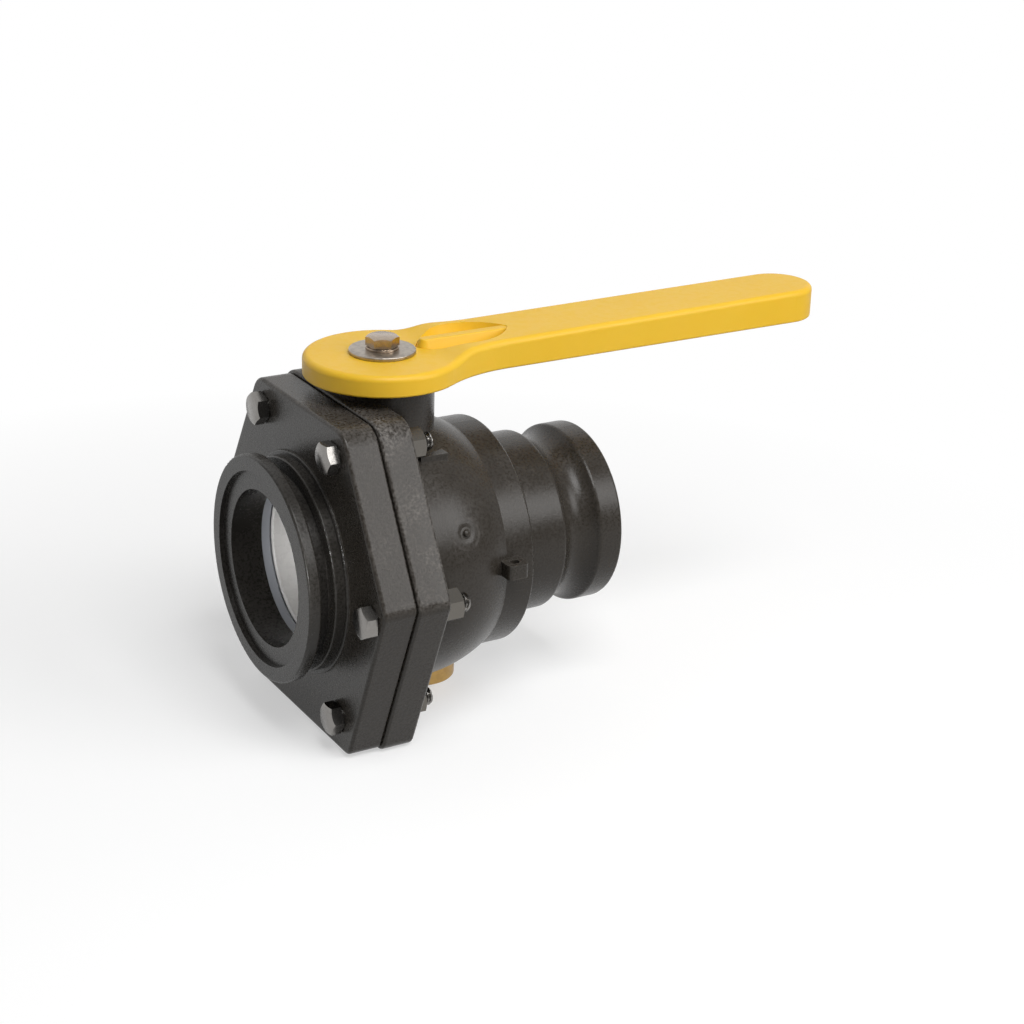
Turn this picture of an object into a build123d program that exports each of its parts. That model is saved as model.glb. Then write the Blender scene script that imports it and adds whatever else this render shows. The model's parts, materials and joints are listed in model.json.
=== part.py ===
from build123d import *
import os
from math import cos, radians, sin, sqrt

# Two-inch bolted ball valve with a clamp-flange inlet, a male cam-groove outlet and a lever handle.
# Millimetres. The origin is the centre of the inlet ring's sealing plane. +X runs with the flow to
# the outlet, and +Z runs up the stem to the handle. The valve is modelled open.

# Outlet passage
outlet_r = 31.55
outlet_wall = 8.15

# Ball, seats and chamber
ball_r = 39.3
ball_wall = 13.3
ball_bore_step = 0.5
ball_bore_edge_r = 0.8
ball_to_seat = 0.25
ball_to_chamber = 1.0
chamber_wall = 5.7
chamber_centre_offset = 3.0
seat_bore_clearance = 0.2
seat_width = 6.3
seat_land = 1.2
seat_throat = 3.0
seat_side_clearance = 0.05

# Inlet ring, neck and collars on the cover
inlet_ring_rim = 5.4
inlet_ring_thickness = 4.2
inlet_ring_taper = 1.7
inlet_ring_edge_r = 0.8
gasket_land = 6.4
gasket_recess_depth = 1.6
neck_length = 4.0
neck_wall = 5.2
seat_front_wall = 2.9
collar_wall = 3.3
front_collar_length = 3.47726
rear_collar_length = 0.9
rear_collar_step = 1.5
collar_edge_r = 0.6

# Hexagonal flanges and their bolts
cover_thickness = 11.9
body_flange_thickness = 11.7
top_bolt_deg = 60.0
lower_bolt_deg = 56.6
flat_past_bolt = 10.74
top_corner_past_bolt = 6.2
side_corner_past_bolt = 9.8
side_corner_rise = 4.5
bottom_corner_past_bolt = 8.05
top_corner_r = 9.5
side_corner_r = 5.0
bottom_corner_r = 5.0
cover_inset = 0.95
cover_front_edge_r = 1.2
flange_back_edge_r = 1.2
seam_edge_r = 1.0
spigot_length = 3.0
spigot_clearance = 0.15
bolt_r = 3.175
bolt_hole_clearance = 0.25
hex_sides = 6
hex_across_flats = 11.1
hex_chamfer = 0.5
bolt_head_height = 4.3
nut_height = 7.2
nut_to_chamber = 1.45
bolt_end_past_nut = 3.3
thread_clearance = 0.04

# Squeezed rings: section sizes are those of the closed groove
seat_ring_lip = 2.2
seat_ring_width = 2.6
seat_ring_depth = 1.9
body_ring_lip = 1.8
body_ring_width = 3.0
body_ring_depth = 2.1
stem_ring_width = 2.4
stem_ring_depth = 1.8
stem_ring_running_clearance = 0.03
plug_ring_lip = 0.6
plug_ring_width = 2.2
plug_ring_depth = 1.5
ring_side_clearance = 0.1
ring_bevel = 0.5

# Step ring and outlet adapter with its cam groove
step_ring_wall = 6.7
seat_back_wall = 4.6
step_ring_edge_r = 0.8
outlet_length = 40.4
outlet_edge_r = 1.2
cam_groove_from_end = 16.0
cam_groove_half_width = 6.9
cam_groove_depth = 3.9
cam_groove_lip_r = 1.4

# Stem, its boss and its thrust washer
stem_r = 10.0
stem_running_clearance = 0.05
square_corner_inset = 0.1
collar_step = 4.0
collar_thickness = 4.0
collar_to_chamber = 0.3
collar_side_clearance = 0.3
thrust_washer_thickness = 1.6
thrust_clearance = 0.1
boss_wall = 3.0
lower_ring_rise = 4.2
stem_ring_pitch = 5.0
upper_ring_cover = 5.4
tang_length = 22.0
tang_width = 9.6
tang_clearance = 0.2
slot_floor_wall = 5.3

# Travel stop: an ear on the boss in an arc pocket under the hub
stop_wall = 2.1
stop_inset = 0.3
stop_height = 4.2
stop_start_deg = 150.0
stop_span_deg = 60.0
stop_clearance = 0.3
stop_side_deg = 1.3
travel_deg = 90.0

# Handle
handle_to_boss = 0.5
hub_r = 26.2
hub_thickness = 7.2
lever_reach = 173.0
lever_root_x = 37.0
lever_root_half_width = 14.3
lever_tip_r = 13.2
lever_root_rise = 2.7
lever_tip_rise = 4.6
rise_past_washer = 0.6
rise_length = 16.3
neck_side_r = 48.0
handle_top_edge_r = 2.0
handle_bottom_edge_r = 0.8
socket_clearance = 0.1
pocket_past_washer = 1.3
pocket_end_x = 46.0
pocket_half_width = 10.2
pocket_depth = 0.8
pocket_side_deg = 14.0
pocket_corner_r = 2.0
spine_half_width = 3.0
spine_side_deg = 18.0
spine_past_washer = 1.6
spine_edge_r = 0.6
core_start_x = 52.0
core_wall = 4.0
core_depth = 5.6
core_rib_thickness = 2.6
core_rib_count = 4

# Handle bolt and washers
handle_bolt_length = 19.0
handle_hole_spare = 1.85
handle_head_height = 3.6
stem_below_hub = 0.5
washer_r = 11.1
washer_thickness = 1.35
washer_hole_clearance = 0.325
lock_washer_r = 5.5
lock_washer_thickness = 0.8
lock_washer_gap = 0.9

# Drain plug and its boss under the chamber
drain_past_stem = 14.9
drain_face_rise = 3.0
drain_boss_inset = 1.0
plug_head_r = 12.5
plug_head_clearance = 0.4
plug_head_height = 7.4
plug_head_edge_r = 0.6
plug_shank_r = 8.0
plug_to_chamber = 0.2
plug_socket_across_flats = 9.5
plug_socket_depth = 5.0

# Tether eye, nut ledge and gate dish on the body
eye_before_ring_back = 13.8
eye_width = 7.6
eye_stand_out = 7.0
eye_bottom_z = 0.5
eye_thickness = 5.0
eye_corner_r = 1.6
eye_hole_r = 1.6
eye_hole_inset = 3.4
ledge_past_nut = 1.0
ledge_length = 10.0
ledge_half_width = 25.5
ledge_to_bolt = 2.6
gate_rise_deg = 23.4
gate_turn_deg = 8.4
gate_dish_r = 45.0
gate_dish_depth = 0.7
gate_nub_r = 1.1

# How far the cutting profiles reach past the faces that they open
cut_past = 1.0
lever_headroom = 2.0

# How closely an edge or a face has to match to be picked
match_within = 0.01
up_facing = 0.7
straight_across = 0.999

# Worked-out radii about the flow
ball_bore_r = ball_r - ball_wall
bore_r = ball_bore_r + ball_bore_step
outlet_bore_r = outlet_r - outlet_wall
chamber_r = ball_r + ball_to_chamber
chamber_outer_r = chamber_r + chamber_wall
seat_face_r = ball_r + ball_to_seat
seat_inner_r = bore_r + seat_bore_clearance
seat_outer_r = seat_inner_r + seat_width
gasket_recess_r = bore_r + gasket_land
inlet_ring_r = gasket_recess_r + inlet_ring_rim
neck_r = bore_r + neck_wall
front_collar_r = seat_outer_r + collar_wall
rear_collar_r = front_collar_r + rear_collar_step
step_ring_r = seat_outer_r + step_ring_wall
spigot_r = chamber_r - spigot_clearance
seat_ring_inner_r = seat_inner_r + seat_ring_lip
body_ring_inner_r = chamber_r + body_ring_lip
bolt_circle_r = chamber_outer_r + nut_to_chamber + hex_across_flats / 2
bolt_hole_r = bolt_r + bolt_hole_clearance
nut_bore_r = bolt_r + thread_clearance
hex_turn_deg = 180 / hex_sides

# Worked-out bolt places and flange corners, across and up
top_bolt_y = bolt_circle_r * cos(radians(top_bolt_deg))
top_bolt_z = bolt_circle_r * sin(radians(top_bolt_deg))
lower_bolt_y = bolt_circle_r * cos(radians(lower_bolt_deg))
lower_bolt_z = -bolt_circle_r * sin(radians(lower_bolt_deg))
bolt_places = [
    (side * across, up)
    for side in (1, -1)
    for across, up in ((top_bolt_y, top_bolt_z), (bolt_circle_r, 0), (lower_bolt_y, lower_bolt_z))
]
flange_half_height = top_bolt_z + flat_past_bolt
top_corner_y = top_bolt_y + top_corner_past_bolt
side_corner_y = bolt_circle_r + side_corner_past_bolt
bottom_corner_y = lower_bolt_y + bottom_corner_past_bolt

# Worked-out stations along the flow
seat_reach = sqrt(seat_face_r**2 - seat_inner_r**2) + seat_throat
pocket_mouth_reach = sqrt(chamber_r**2 - seat_outer_r**2)
neck_start_x = inlet_ring_thickness + inlet_ring_taper
front_collar_x = neck_start_x + neck_length
stem_x = front_collar_x + seat_front_wall + seat_reach
seam_x = front_collar_x + front_collar_length + rear_collar_length + cover_thickness
spigot_end_x = seam_x + spigot_length
cover_front_x = seam_x - cover_thickness
rear_collar_x = cover_front_x - rear_collar_length
body_flange_back_x = seam_x + body_flange_thickness
chamber_centre_x = stem_x + chamber_centre_offset
step_ring_front_x = chamber_centre_x + sqrt(chamber_outer_r**2 - step_ring_r**2)
step_ring_back_x = stem_x + seat_reach + seat_back_wall
outlet_end_x = step_ring_back_x + outlet_length
cam_groove_x = outlet_end_x - cam_groove_from_end
drain_x = stem_x + drain_past_stem
eye_start_x = step_ring_back_x - eye_before_ring_back
ledge_start_x = body_flange_back_x + nut_height + ledge_past_nut

# Worked-out heights and radii about the stem
stem_bore_r = stem_r + stem_running_clearance
stem_square = sqrt(2) * (stem_r - square_corner_inset)
stem_collar_r = stem_r + collar_step
collar_pocket_r = stem_collar_r + collar_side_clearance
boss_r = collar_pocket_r + boss_wall
stop_inner_r = stem_square / sqrt(2) + stop_wall
stop_outer_r = boss_r - stop_inset
slot_floor_z = ball_bore_r + slot_floor_wall
collar_bottom_z = chamber_r + collar_to_chamber
collar_top_z = collar_bottom_z + collar_thickness
collar_pocket_top_z = collar_top_z + thrust_clearance + thrust_washer_thickness
lower_stem_ring_z = collar_pocket_top_z + lower_ring_rise
upper_stem_ring_z = lower_stem_ring_z + stem_ring_pitch
boss_top_z = upper_stem_ring_z + upper_ring_cover
handle_bottom_z = boss_top_z + handle_to_boss
hub_top_z = handle_bottom_z + hub_thickness
stem_top_z = hub_top_z - stem_below_hub
lever_root_top_z = hub_top_z + lever_root_rise
lever_tip_top_z = hub_top_z + lever_tip_rise
pocket_floor_z = hub_top_z - pocket_depth
pocket_start_x = washer_r + pocket_past_washer
washer_hole_r = bolt_r + washer_hole_clearance
washer_top_z = hub_top_z + washer_thickness
handle_head_z = washer_top_z + lock_washer_thickness
handle_hole_depth = handle_bolt_length - (handle_head_z - stem_top_z) + handle_hole_spare
rise_start_x = washer_r + rise_past_washer
rise_end_x = rise_start_x + rise_length
drain_face_z = drain_face_rise - chamber_outer_r
drain_boss_r = plug_head_r - drain_boss_inset
plug_shank_length = chamber_wall - drain_face_rise - plug_to_chamber
plug_ring_inner_r = plug_shank_r + plug_ring_lip
eye_reach = step_ring_r + eye_stand_out
ledge_top_z = top_bolt_z - bolt_r - ledge_to_bolt
stem_axis = Axis((stem_x, 0, 0), (0, 0, 1))
drain_axis = Axis((drain_x, 0, 0), (0, 0, 1))


def flow_circles(part, x, radius):
    """The circular edges about the flow axis at one station and radius."""
    circles = part.edges().filter_by(GeomType.CIRCLE)
    at_station = circles.filter_by_position(Axis.X, x - match_within, x + match_within)
    return at_station.filter_by(lambda edge: abs(edge.radius - radius) < match_within)


def sphere_reach(radius, off_axis):
    """How far along the flow a sphere about the stem reaches at a distance off the flow axis."""
    return sqrt(radius**2 - off_axis**2)


def about_stem(radius, degrees):
    """A plan point at a radius and a turn from +X about the stem axis."""
    return stem_x + radius * cos(radians(degrees)), radius * sin(radians(degrees))


def stop_sector(inner_r, outer_r, start_deg, span_deg):
    """The sketch of a ring sector about the stem axis."""
    end_deg = start_deg + span_deg
    middle_deg = start_deg + span_deg / 2
    with BuildSketch() as sector:
        with BuildLine():
            for radius in (outer_r, inner_r):
                ThreePointArc(*(about_stem(radius, turn) for turn in (start_deg, middle_deg, end_deg)))
            for turn in (start_deg, end_deg):
                Line(about_stem(inner_r, turn), about_stem(outer_r, turn))
        make_face()
    return sector.sketch


def flange_outline(inset):
    """The sketch of a flange: six sides on a broad foot, with rounded corners, drawn in by an inset."""
    with BuildSketch() as outline:
        with BuildLine():
            Polyline(
                (top_corner_y, flange_half_height),
                (side_corner_y, side_corner_rise),
                (bottom_corner_y, -flange_half_height),
                (-bottom_corner_y, -flange_half_height),
                (-side_corner_y, side_corner_rise),
                (-top_corner_y, flange_half_height),
                close=True,
            )
        make_face()
        fillet(vertices().group_by(Axis.Y)[-1], top_corner_r)
        fillet(vertices().group_by(Axis.Y)[0], bottom_corner_r)
        widest = side_corner_y - match_within
        fillet(vertices().filter_by(lambda corner: abs(corner.X) > widest), side_corner_r)
        if inset:
            offset(amount=-inset, mode=Mode.REPLACE)
    return outline.sketch


# Inlet cover: hexagonal plate with collars, neck and clamp ring in front and a spigot behind
with BuildPart() as inlet_cover:
    with BuildSketch(Plane.YZ.offset(cover_front_x)):
        add(flange_outline(cover_inset))
    extrude(amount=cover_thickness)
    fillet(edges().group_by(Axis.X)[0], cover_front_edge_r)
    fillet(edges().group_by(Axis.X)[-1], seam_edge_r)
    with BuildSketch(Plane.XZ):
        with BuildLine():
            Polyline(
                (0, 0),
                (0, inlet_ring_r),
                (inlet_ring_thickness, inlet_ring_r),
                (neck_start_x, neck_r),
                (front_collar_x, neck_r),
                (front_collar_x, front_collar_r),
                (rear_collar_x, front_collar_r),
                (rear_collar_x, rear_collar_r),
                (seam_x, rear_collar_r),
                (seam_x, spigot_r),
                (spigot_end_x, spigot_r),
                (spigot_end_x, 0),
                close=True,
            )
        make_face()
    revolve(axis=Axis.X)
    fillet(flow_circles(inlet_cover.part, 0, inlet_ring_r), inlet_ring_edge_r)
    fillet(flow_circles(inlet_cover.part, inlet_ring_thickness, inlet_ring_r), inlet_ring_edge_r)
    fillet(flow_circles(inlet_cover.part, front_collar_x, front_collar_r), collar_edge_r)
    fillet(flow_circles(inlet_cover.part, rear_collar_x, rear_collar_r), collar_edge_r)
    with BuildSketch(Plane.XZ):
        spigot_mouth = (spigot_end_x, sphere_reach(chamber_r, stem_x - spigot_end_x))
        pocket_mouth = (stem_x - pocket_mouth_reach, seat_outer_r)
        with BuildLine():
            Polyline(
                (-cut_past, 0),
                (-cut_past, gasket_recess_r),
                (gasket_recess_depth, gasket_recess_r),
                (gasket_recess_depth, bore_r),
                (stem_x - seat_reach, bore_r),
                (stem_x - seat_reach, seat_outer_r),
                pocket_mouth,
            )
            RadiusArc(pocket_mouth, spigot_mouth, chamber_r)
            Polyline(
                spigot_mouth,
                (spigot_end_x + cut_past, spigot_mouth[1]),
                (spigot_end_x + cut_past, 0),
                (-cut_past, 0),
            )
        make_face()
    revolve(axis=Axis.X, mode=Mode.SUBTRACT)
    with BuildSketch(Plane.YZ.offset(seam_x)):
        Circle(body_ring_inner_r + body_ring_width)
        Circle(body_ring_inner_r, mode=Mode.SUBTRACT)
    extrude(amount=-body_ring_depth, mode=Mode.SUBTRACT)
    with BuildSketch(Plane.YZ.offset(cover_front_x)):
        with Locations(*bolt_places):
            Circle(bolt_hole_r)
    extrude(amount=cover_thickness, mode=Mode.SUBTRACT)

# Valve body: hexagonal flange, round chamber, step ring and cam-groove outlet
with BuildPart() as valve_body:
    with BuildSketch(Plane.YZ.offset(seam_x)):
        add(flange_outline(0))
    extrude(amount=body_flange_thickness)
    fillet(edges().group_by(Axis.X)[0], seam_edge_r)
    fillet(edges().group_by(Axis.X)[-1], flange_back_edge_r)
    with BuildSketch(Plane.XZ):
        chamber_crown = (chamber_centre_x, chamber_outer_r)
        ring_front = (step_ring_front_x, step_ring_r)
        groove_start = (cam_groove_x - cam_groove_half_width, outlet_r)
        groove_end = (cam_groove_x + cam_groove_half_width, outlet_r)
        with BuildLine():
            Polyline((seam_x, 0), (seam_x, chamber_outer_r), chamber_crown)
            RadiusArc(chamber_crown, ring_front, chamber_outer_r)
            Polyline(
                ring_front,
                (step_ring_back_x, step_ring_r),
                (step_ring_back_x, outlet_r),
                groove_start,
            )
            ThreePointArc(groove_start, (cam_groove_x, outlet_r - cam_groove_depth), groove_end)
            Polyline(
                groove_end,
                (outlet_end_x, outlet_r),
                (outlet_end_x, 0),
                (seam_x, 0),
            )
        make_face()
    revolve(axis=Axis.X)
    for lip in (groove_start, groove_end):
        fillet(flow_circles(valve_body.part, *lip), cam_groove_lip_r)
    fillet(flow_circles(valve_body.part, outlet_end_x, outlet_r), outlet_edge_r)
    fillet(flow_circles(valve_body.part, step_ring_back_x, step_ring_r), step_ring_edge_r)
    # Stem boss, nut ledge, drain boss and tether eye
    with BuildSketch(Plane.XY):
        with Locations((stem_x, 0)):
            Circle(boss_r)
    extrude(amount=boss_top_z)
    with BuildSketch(Plane.XY):
        with Locations((ledge_start_x + ledge_length / 2, 0)):
            Rectangle(ledge_length, 2 * ledge_half_width)
    extrude(amount=ledge_top_z)
    with BuildSketch(Plane.XY.offset(drain_face_z)):
        with Locations((drain_x, 0)):
            Circle(plug_head_r + plug_head_clearance)
    extrude(amount=-plug_head_height, mode=Mode.SUBTRACT)
    with BuildSketch(Plane.XY):
        with Locations((drain_x, 0)):
            Circle(drain_boss_r)
    extrude(amount=drain_face_z)
    with BuildSketch(Plane.XY.offset(eye_bottom_z)):
        with Locations((eye_start_x + eye_width / 2, -eye_reach / 2)):
            Rectangle(eye_width, eye_reach)
        fillet(vertices().group_by(Axis.Y)[0], eye_corner_r)
    extrude(amount=eye_thickness)
    # Flow passage, chamber and outlet seat pocket
    with BuildSketch(Plane.XZ):
        chamber_top = (stem_x, chamber_r)
        pocket_mouth = (stem_x + pocket_mouth_reach, seat_outer_r)
        seat_floor_x = stem_x + seat_reach
        with BuildLine():
            Polyline((seam_x - cut_past, 0), (seam_x - cut_past, chamber_r), chamber_top)
            RadiusArc(chamber_top, pocket_mouth, chamber_r)
            Polyline(
                pocket_mouth,
                (seat_floor_x, seat_outer_r),
                (seat_floor_x, bore_r),
                (step_ring_back_x, outlet_bore_r),
                (outlet_end_x + cut_past, outlet_bore_r),
                (outlet_end_x + cut_past, 0),
                (seam_x - cut_past, 0),
            )
        make_face()
    revolve(axis=Axis.X, mode=Mode.SUBTRACT)
    # Stem bore, collar pocket, drain hole, eye hole and bolt holes
    with BuildSketch(Plane.XY):
        with Locations((stem_x, 0)):
            Circle(stem_bore_r)
    extrude(amount=boss_top_z, mode=Mode.SUBTRACT)
    with BuildSketch(Plane.XY):
        with Locations((stem_x, 0)):
            Circle(collar_pocket_r)
    extrude(amount=collar_pocket_top_z, mode=Mode.SUBTRACT)
    with BuildSketch(Plane.XY):
        with Locations((drain_x, 0)):
            Circle(plug_shank_r + thread_clearance)
    extrude(amount=drain_face_z, mode=Mode.SUBTRACT)
    with BuildSketch(Plane.XY.offset(eye_bottom_z)):
        with Locations((eye_start_x + eye_width / 2, eye_hole_inset - eye_reach)):
            Circle(eye_hole_r)
    extrude(amount=eye_thickness, mode=Mode.SUBTRACT)
    with BuildSketch(Plane.YZ.offset(seam_x)):
        with Locations(*bolt_places):
            Circle(bolt_hole_r)
    extrude(amount=body_flange_thickness, mode=Mode.SUBTRACT)
    # Moulding gate: a shallow dish with a nub on the chamber's side
    gate_direction = Vector(
        sin(radians(gate_turn_deg)) * cos(radians(gate_rise_deg)),
        -cos(radians(gate_turn_deg)) * cos(radians(gate_rise_deg)),
        sin(radians(gate_rise_deg)),
    )
    gate_centre = Vector(chamber_centre_x, 0, 0)
    with Locations(gate_centre + gate_direction * (chamber_outer_r + gate_dish_r - gate_dish_depth)):
        Sphere(gate_dish_r, mode=Mode.SUBTRACT)
    gate_root = gate_centre + gate_direction * (chamber_outer_r - 2 * gate_dish_depth)
    with BuildSketch(Plane(gate_root, z_dir=gate_direction)):
        Circle(gate_nub_r)
    extrude(amount=2 * gate_dish_depth)
    # Travel stop on the boss
    with BuildSketch(Plane.XY.offset(boss_top_z)):
        add(stop_sector(stop_inner_r, stop_outer_r, stop_start_deg, stop_span_deg))
    extrude(amount=stop_height)

# Ball with its flow bore and the stem's slot, open ended so that the ball slides onto the tang
with BuildPart() as ball:
    with Locations((stem_x, 0, 0)):
        Sphere(ball_r)
    with BuildSketch(Plane.YZ.offset(stem_x - ball_r)):
        Circle(ball_bore_r)
    extrude(amount=2 * ball_r, mode=Mode.SUBTRACT)
    for bore_side in (-1, 1):
        bore_mouth_x = stem_x + bore_side * sphere_reach(ball_r, ball_bore_r)
        fillet(flow_circles(ball.part, bore_mouth_x, ball_bore_r), ball_bore_edge_r)
    with BuildSketch(Plane.XY.offset(slot_floor_z)):
        with Locations((stem_x, 0)):
            Rectangle(tang_width + 2 * tang_clearance, 2 * ball_r)
    extrude(amount=ball_r, mode=Mode.SUBTRACT)


def seat_ring(side):
    """A seat about the flow axis, with its ring groove at the back, on one side of the ball."""
    tip_r = seat_outer_r - seat_land
    tip_x = stem_x + side * sphere_reach(seat_face_r, tip_r)
    throat_x = stem_x + side * sphere_reach(seat_face_r, seat_inner_r)
    middle_r = (tip_r + seat_inner_r) / 2
    middle_x = stem_x + side * sphere_reach(seat_face_r, middle_r)
    back_x = stem_x + side * seat_reach
    wall_r = seat_outer_r - seat_side_clearance
    with BuildPart() as seat:
        with BuildSketch(Plane.XZ):
            with BuildLine():
                Polyline(
                    (throat_x, seat_inner_r),
                    (back_x, seat_inner_r),
                    (back_x, wall_r),
                    (tip_x, wall_r),
                    (tip_x, tip_r),
                )
                ThreePointArc((tip_x, tip_r), (middle_x, middle_r), (throat_x, seat_inner_r))
            make_face()
        revolve(axis=Axis.X)
        with BuildSketch(Plane.XZ):
            groove_x = back_x - side * seat_ring_depth / 2
            with Locations((groove_x, seat_ring_inner_r + seat_ring_width / 2)):
                Rectangle(seat_ring_depth, seat_ring_width)
        revolve(axis=Axis.X, mode=Mode.SUBTRACT)
    return seat


def ring_about_flow(centre_x, inner_r, depth, width):
    """A rubber ring about the flow axis, pressed flat between its groove and the face it seals."""
    with BuildPart() as ring:
        with BuildSketch(Plane.XZ):
            with Locations((centre_x, inner_r + width / 2)):
                Rectangle(depth, width - 2 * ring_side_clearance)
            chamfer(vertices(), ring_bevel)
        revolve(axis=Axis.X)
    return ring


# Seats on both sides of the ball, and the rubber rings behind them and between the flanges
inlet_seat = seat_ring(-1)
outlet_seat = seat_ring(1)
seat_ring_reach = seat_reach - seat_ring_depth / 2
seat_ring_size = (seat_ring_inner_r, seat_ring_depth, seat_ring_width)
inlet_seat_o_ring = ring_about_flow(stem_x - seat_ring_reach, *seat_ring_size)
outlet_seat_o_ring = ring_about_flow(stem_x + seat_ring_reach, *seat_ring_size)
body_ring_x = seam_x - body_ring_depth / 2
body_o_ring = ring_about_flow(body_ring_x, body_ring_inner_r, body_ring_depth, body_ring_width)

# Stem: tang in the ball's slot, collar inside the body, shaft with two ring grooves, handle square
with BuildPart() as stem:
    with BuildSketch(Plane.XY.offset(slot_floor_z + tang_clearance)):
        with Locations((stem_x, 0)):
            Rectangle(tang_width, tang_length)
    extrude(amount=collar_bottom_z - slot_floor_z - tang_clearance)
    with BuildSketch(Plane.XY.offset(collar_bottom_z)):
        with Locations((stem_x, 0)):
            Circle(stem_collar_r)
    extrude(amount=collar_thickness)
    with BuildSketch(Plane.XY.offset(collar_top_z)):
        with Locations((stem_x, 0)):
            Circle(stem_r)
    extrude(amount=handle_bottom_z - collar_top_z)
    with BuildSketch(Plane.XY.offset(handle_bottom_z)):
        with Locations((stem_x, 0)):
            Rectangle(stem_square, stem_square)
    extrude(amount=stem_top_z - handle_bottom_z)
    for groove_z in (lower_stem_ring_z, upper_stem_ring_z):
        with BuildSketch(Plane.XY.offset(groove_z - stem_ring_width / 2)):
            with Locations((stem_x, 0)):
                Circle(stem_r)
                Circle(stem_r - stem_ring_depth, mode=Mode.SUBTRACT)
        extrude(amount=stem_ring_width, mode=Mode.SUBTRACT)
    with BuildSketch(Plane.XY.offset(stem_top_z)):
        with Locations((stem_x, 0)):
            Circle(bolt_r + thread_clearance)
    extrude(amount=-handle_hole_depth, mode=Mode.SUBTRACT)


def ring_about_stem(centre_z):
    """A rubber ring in one of the stem's grooves, just clear of the boss's bore."""
    inner_r = stem_r - stem_ring_depth
    outer_r = stem_bore_r - stem_ring_running_clearance
    with BuildPart() as ring:
        with BuildSketch(Plane.XZ):
            with Locations((stem_x + (inner_r + outer_r) / 2, centre_z)):
                ring_height = stem_ring_width - 2 * ring_side_clearance
                Rectangle(outer_r - inner_r, ring_height)
            chamfer(vertices(), ring_bevel)
        revolve(axis=stem_axis)
    return ring


lower_stem_o_ring = ring_about_stem(lower_stem_ring_z)
upper_stem_o_ring = ring_about_stem(upper_stem_ring_z)

with BuildPart() as stem_thrust_washer:
    with BuildSketch(Plane.XY.offset(collar_top_z + thrust_clearance)):
        with Locations((stem_x, 0)):
            Circle(stem_collar_r)
            Circle(stem_r + collar_side_clearance, mode=Mode.SUBTRACT)
    extrude(amount=thrust_washer_thickness)

# Flange bolts with their heads on the cover, and nuts behind the body's flange
with BuildPart() as flange_bolts:
    with BuildSketch(Plane.YZ.offset(cover_front_x)):
        with Locations(*bolt_places):
            RegularPolygon(hex_across_flats / 2, hex_sides, major_radius=False, rotation=hex_turn_deg)
    extrude(amount=-bolt_head_height)
    chamfer(edges().group_by(Axis.X)[0], hex_chamfer)
    with BuildSketch(Plane.YZ.offset(cover_front_x)):
        with Locations(*bolt_places):
            Circle(bolt_r)
    extrude(amount=cover_thickness + body_flange_thickness + nut_height + bolt_end_past_nut)
    chamfer(edges().group_by(Axis.X)[-1], hex_chamfer)

with BuildPart() as flange_nuts:
    with BuildSketch(Plane.YZ.offset(body_flange_back_x)):
        with Locations(*bolt_places):
            RegularPolygon(hex_across_flats / 2, hex_sides, major_radius=False, rotation=hex_turn_deg)
    extrude(amount=nut_height)
    chamfer(edges().group_by(Axis.X)[-1], hex_chamfer)
    with BuildSketch(Plane.YZ.offset(body_flange_back_x)):
        with Locations(*bolt_places):
            Circle(nut_bore_r)
    extrude(amount=nut_height, mode=Mode.SUBTRACT)

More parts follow.
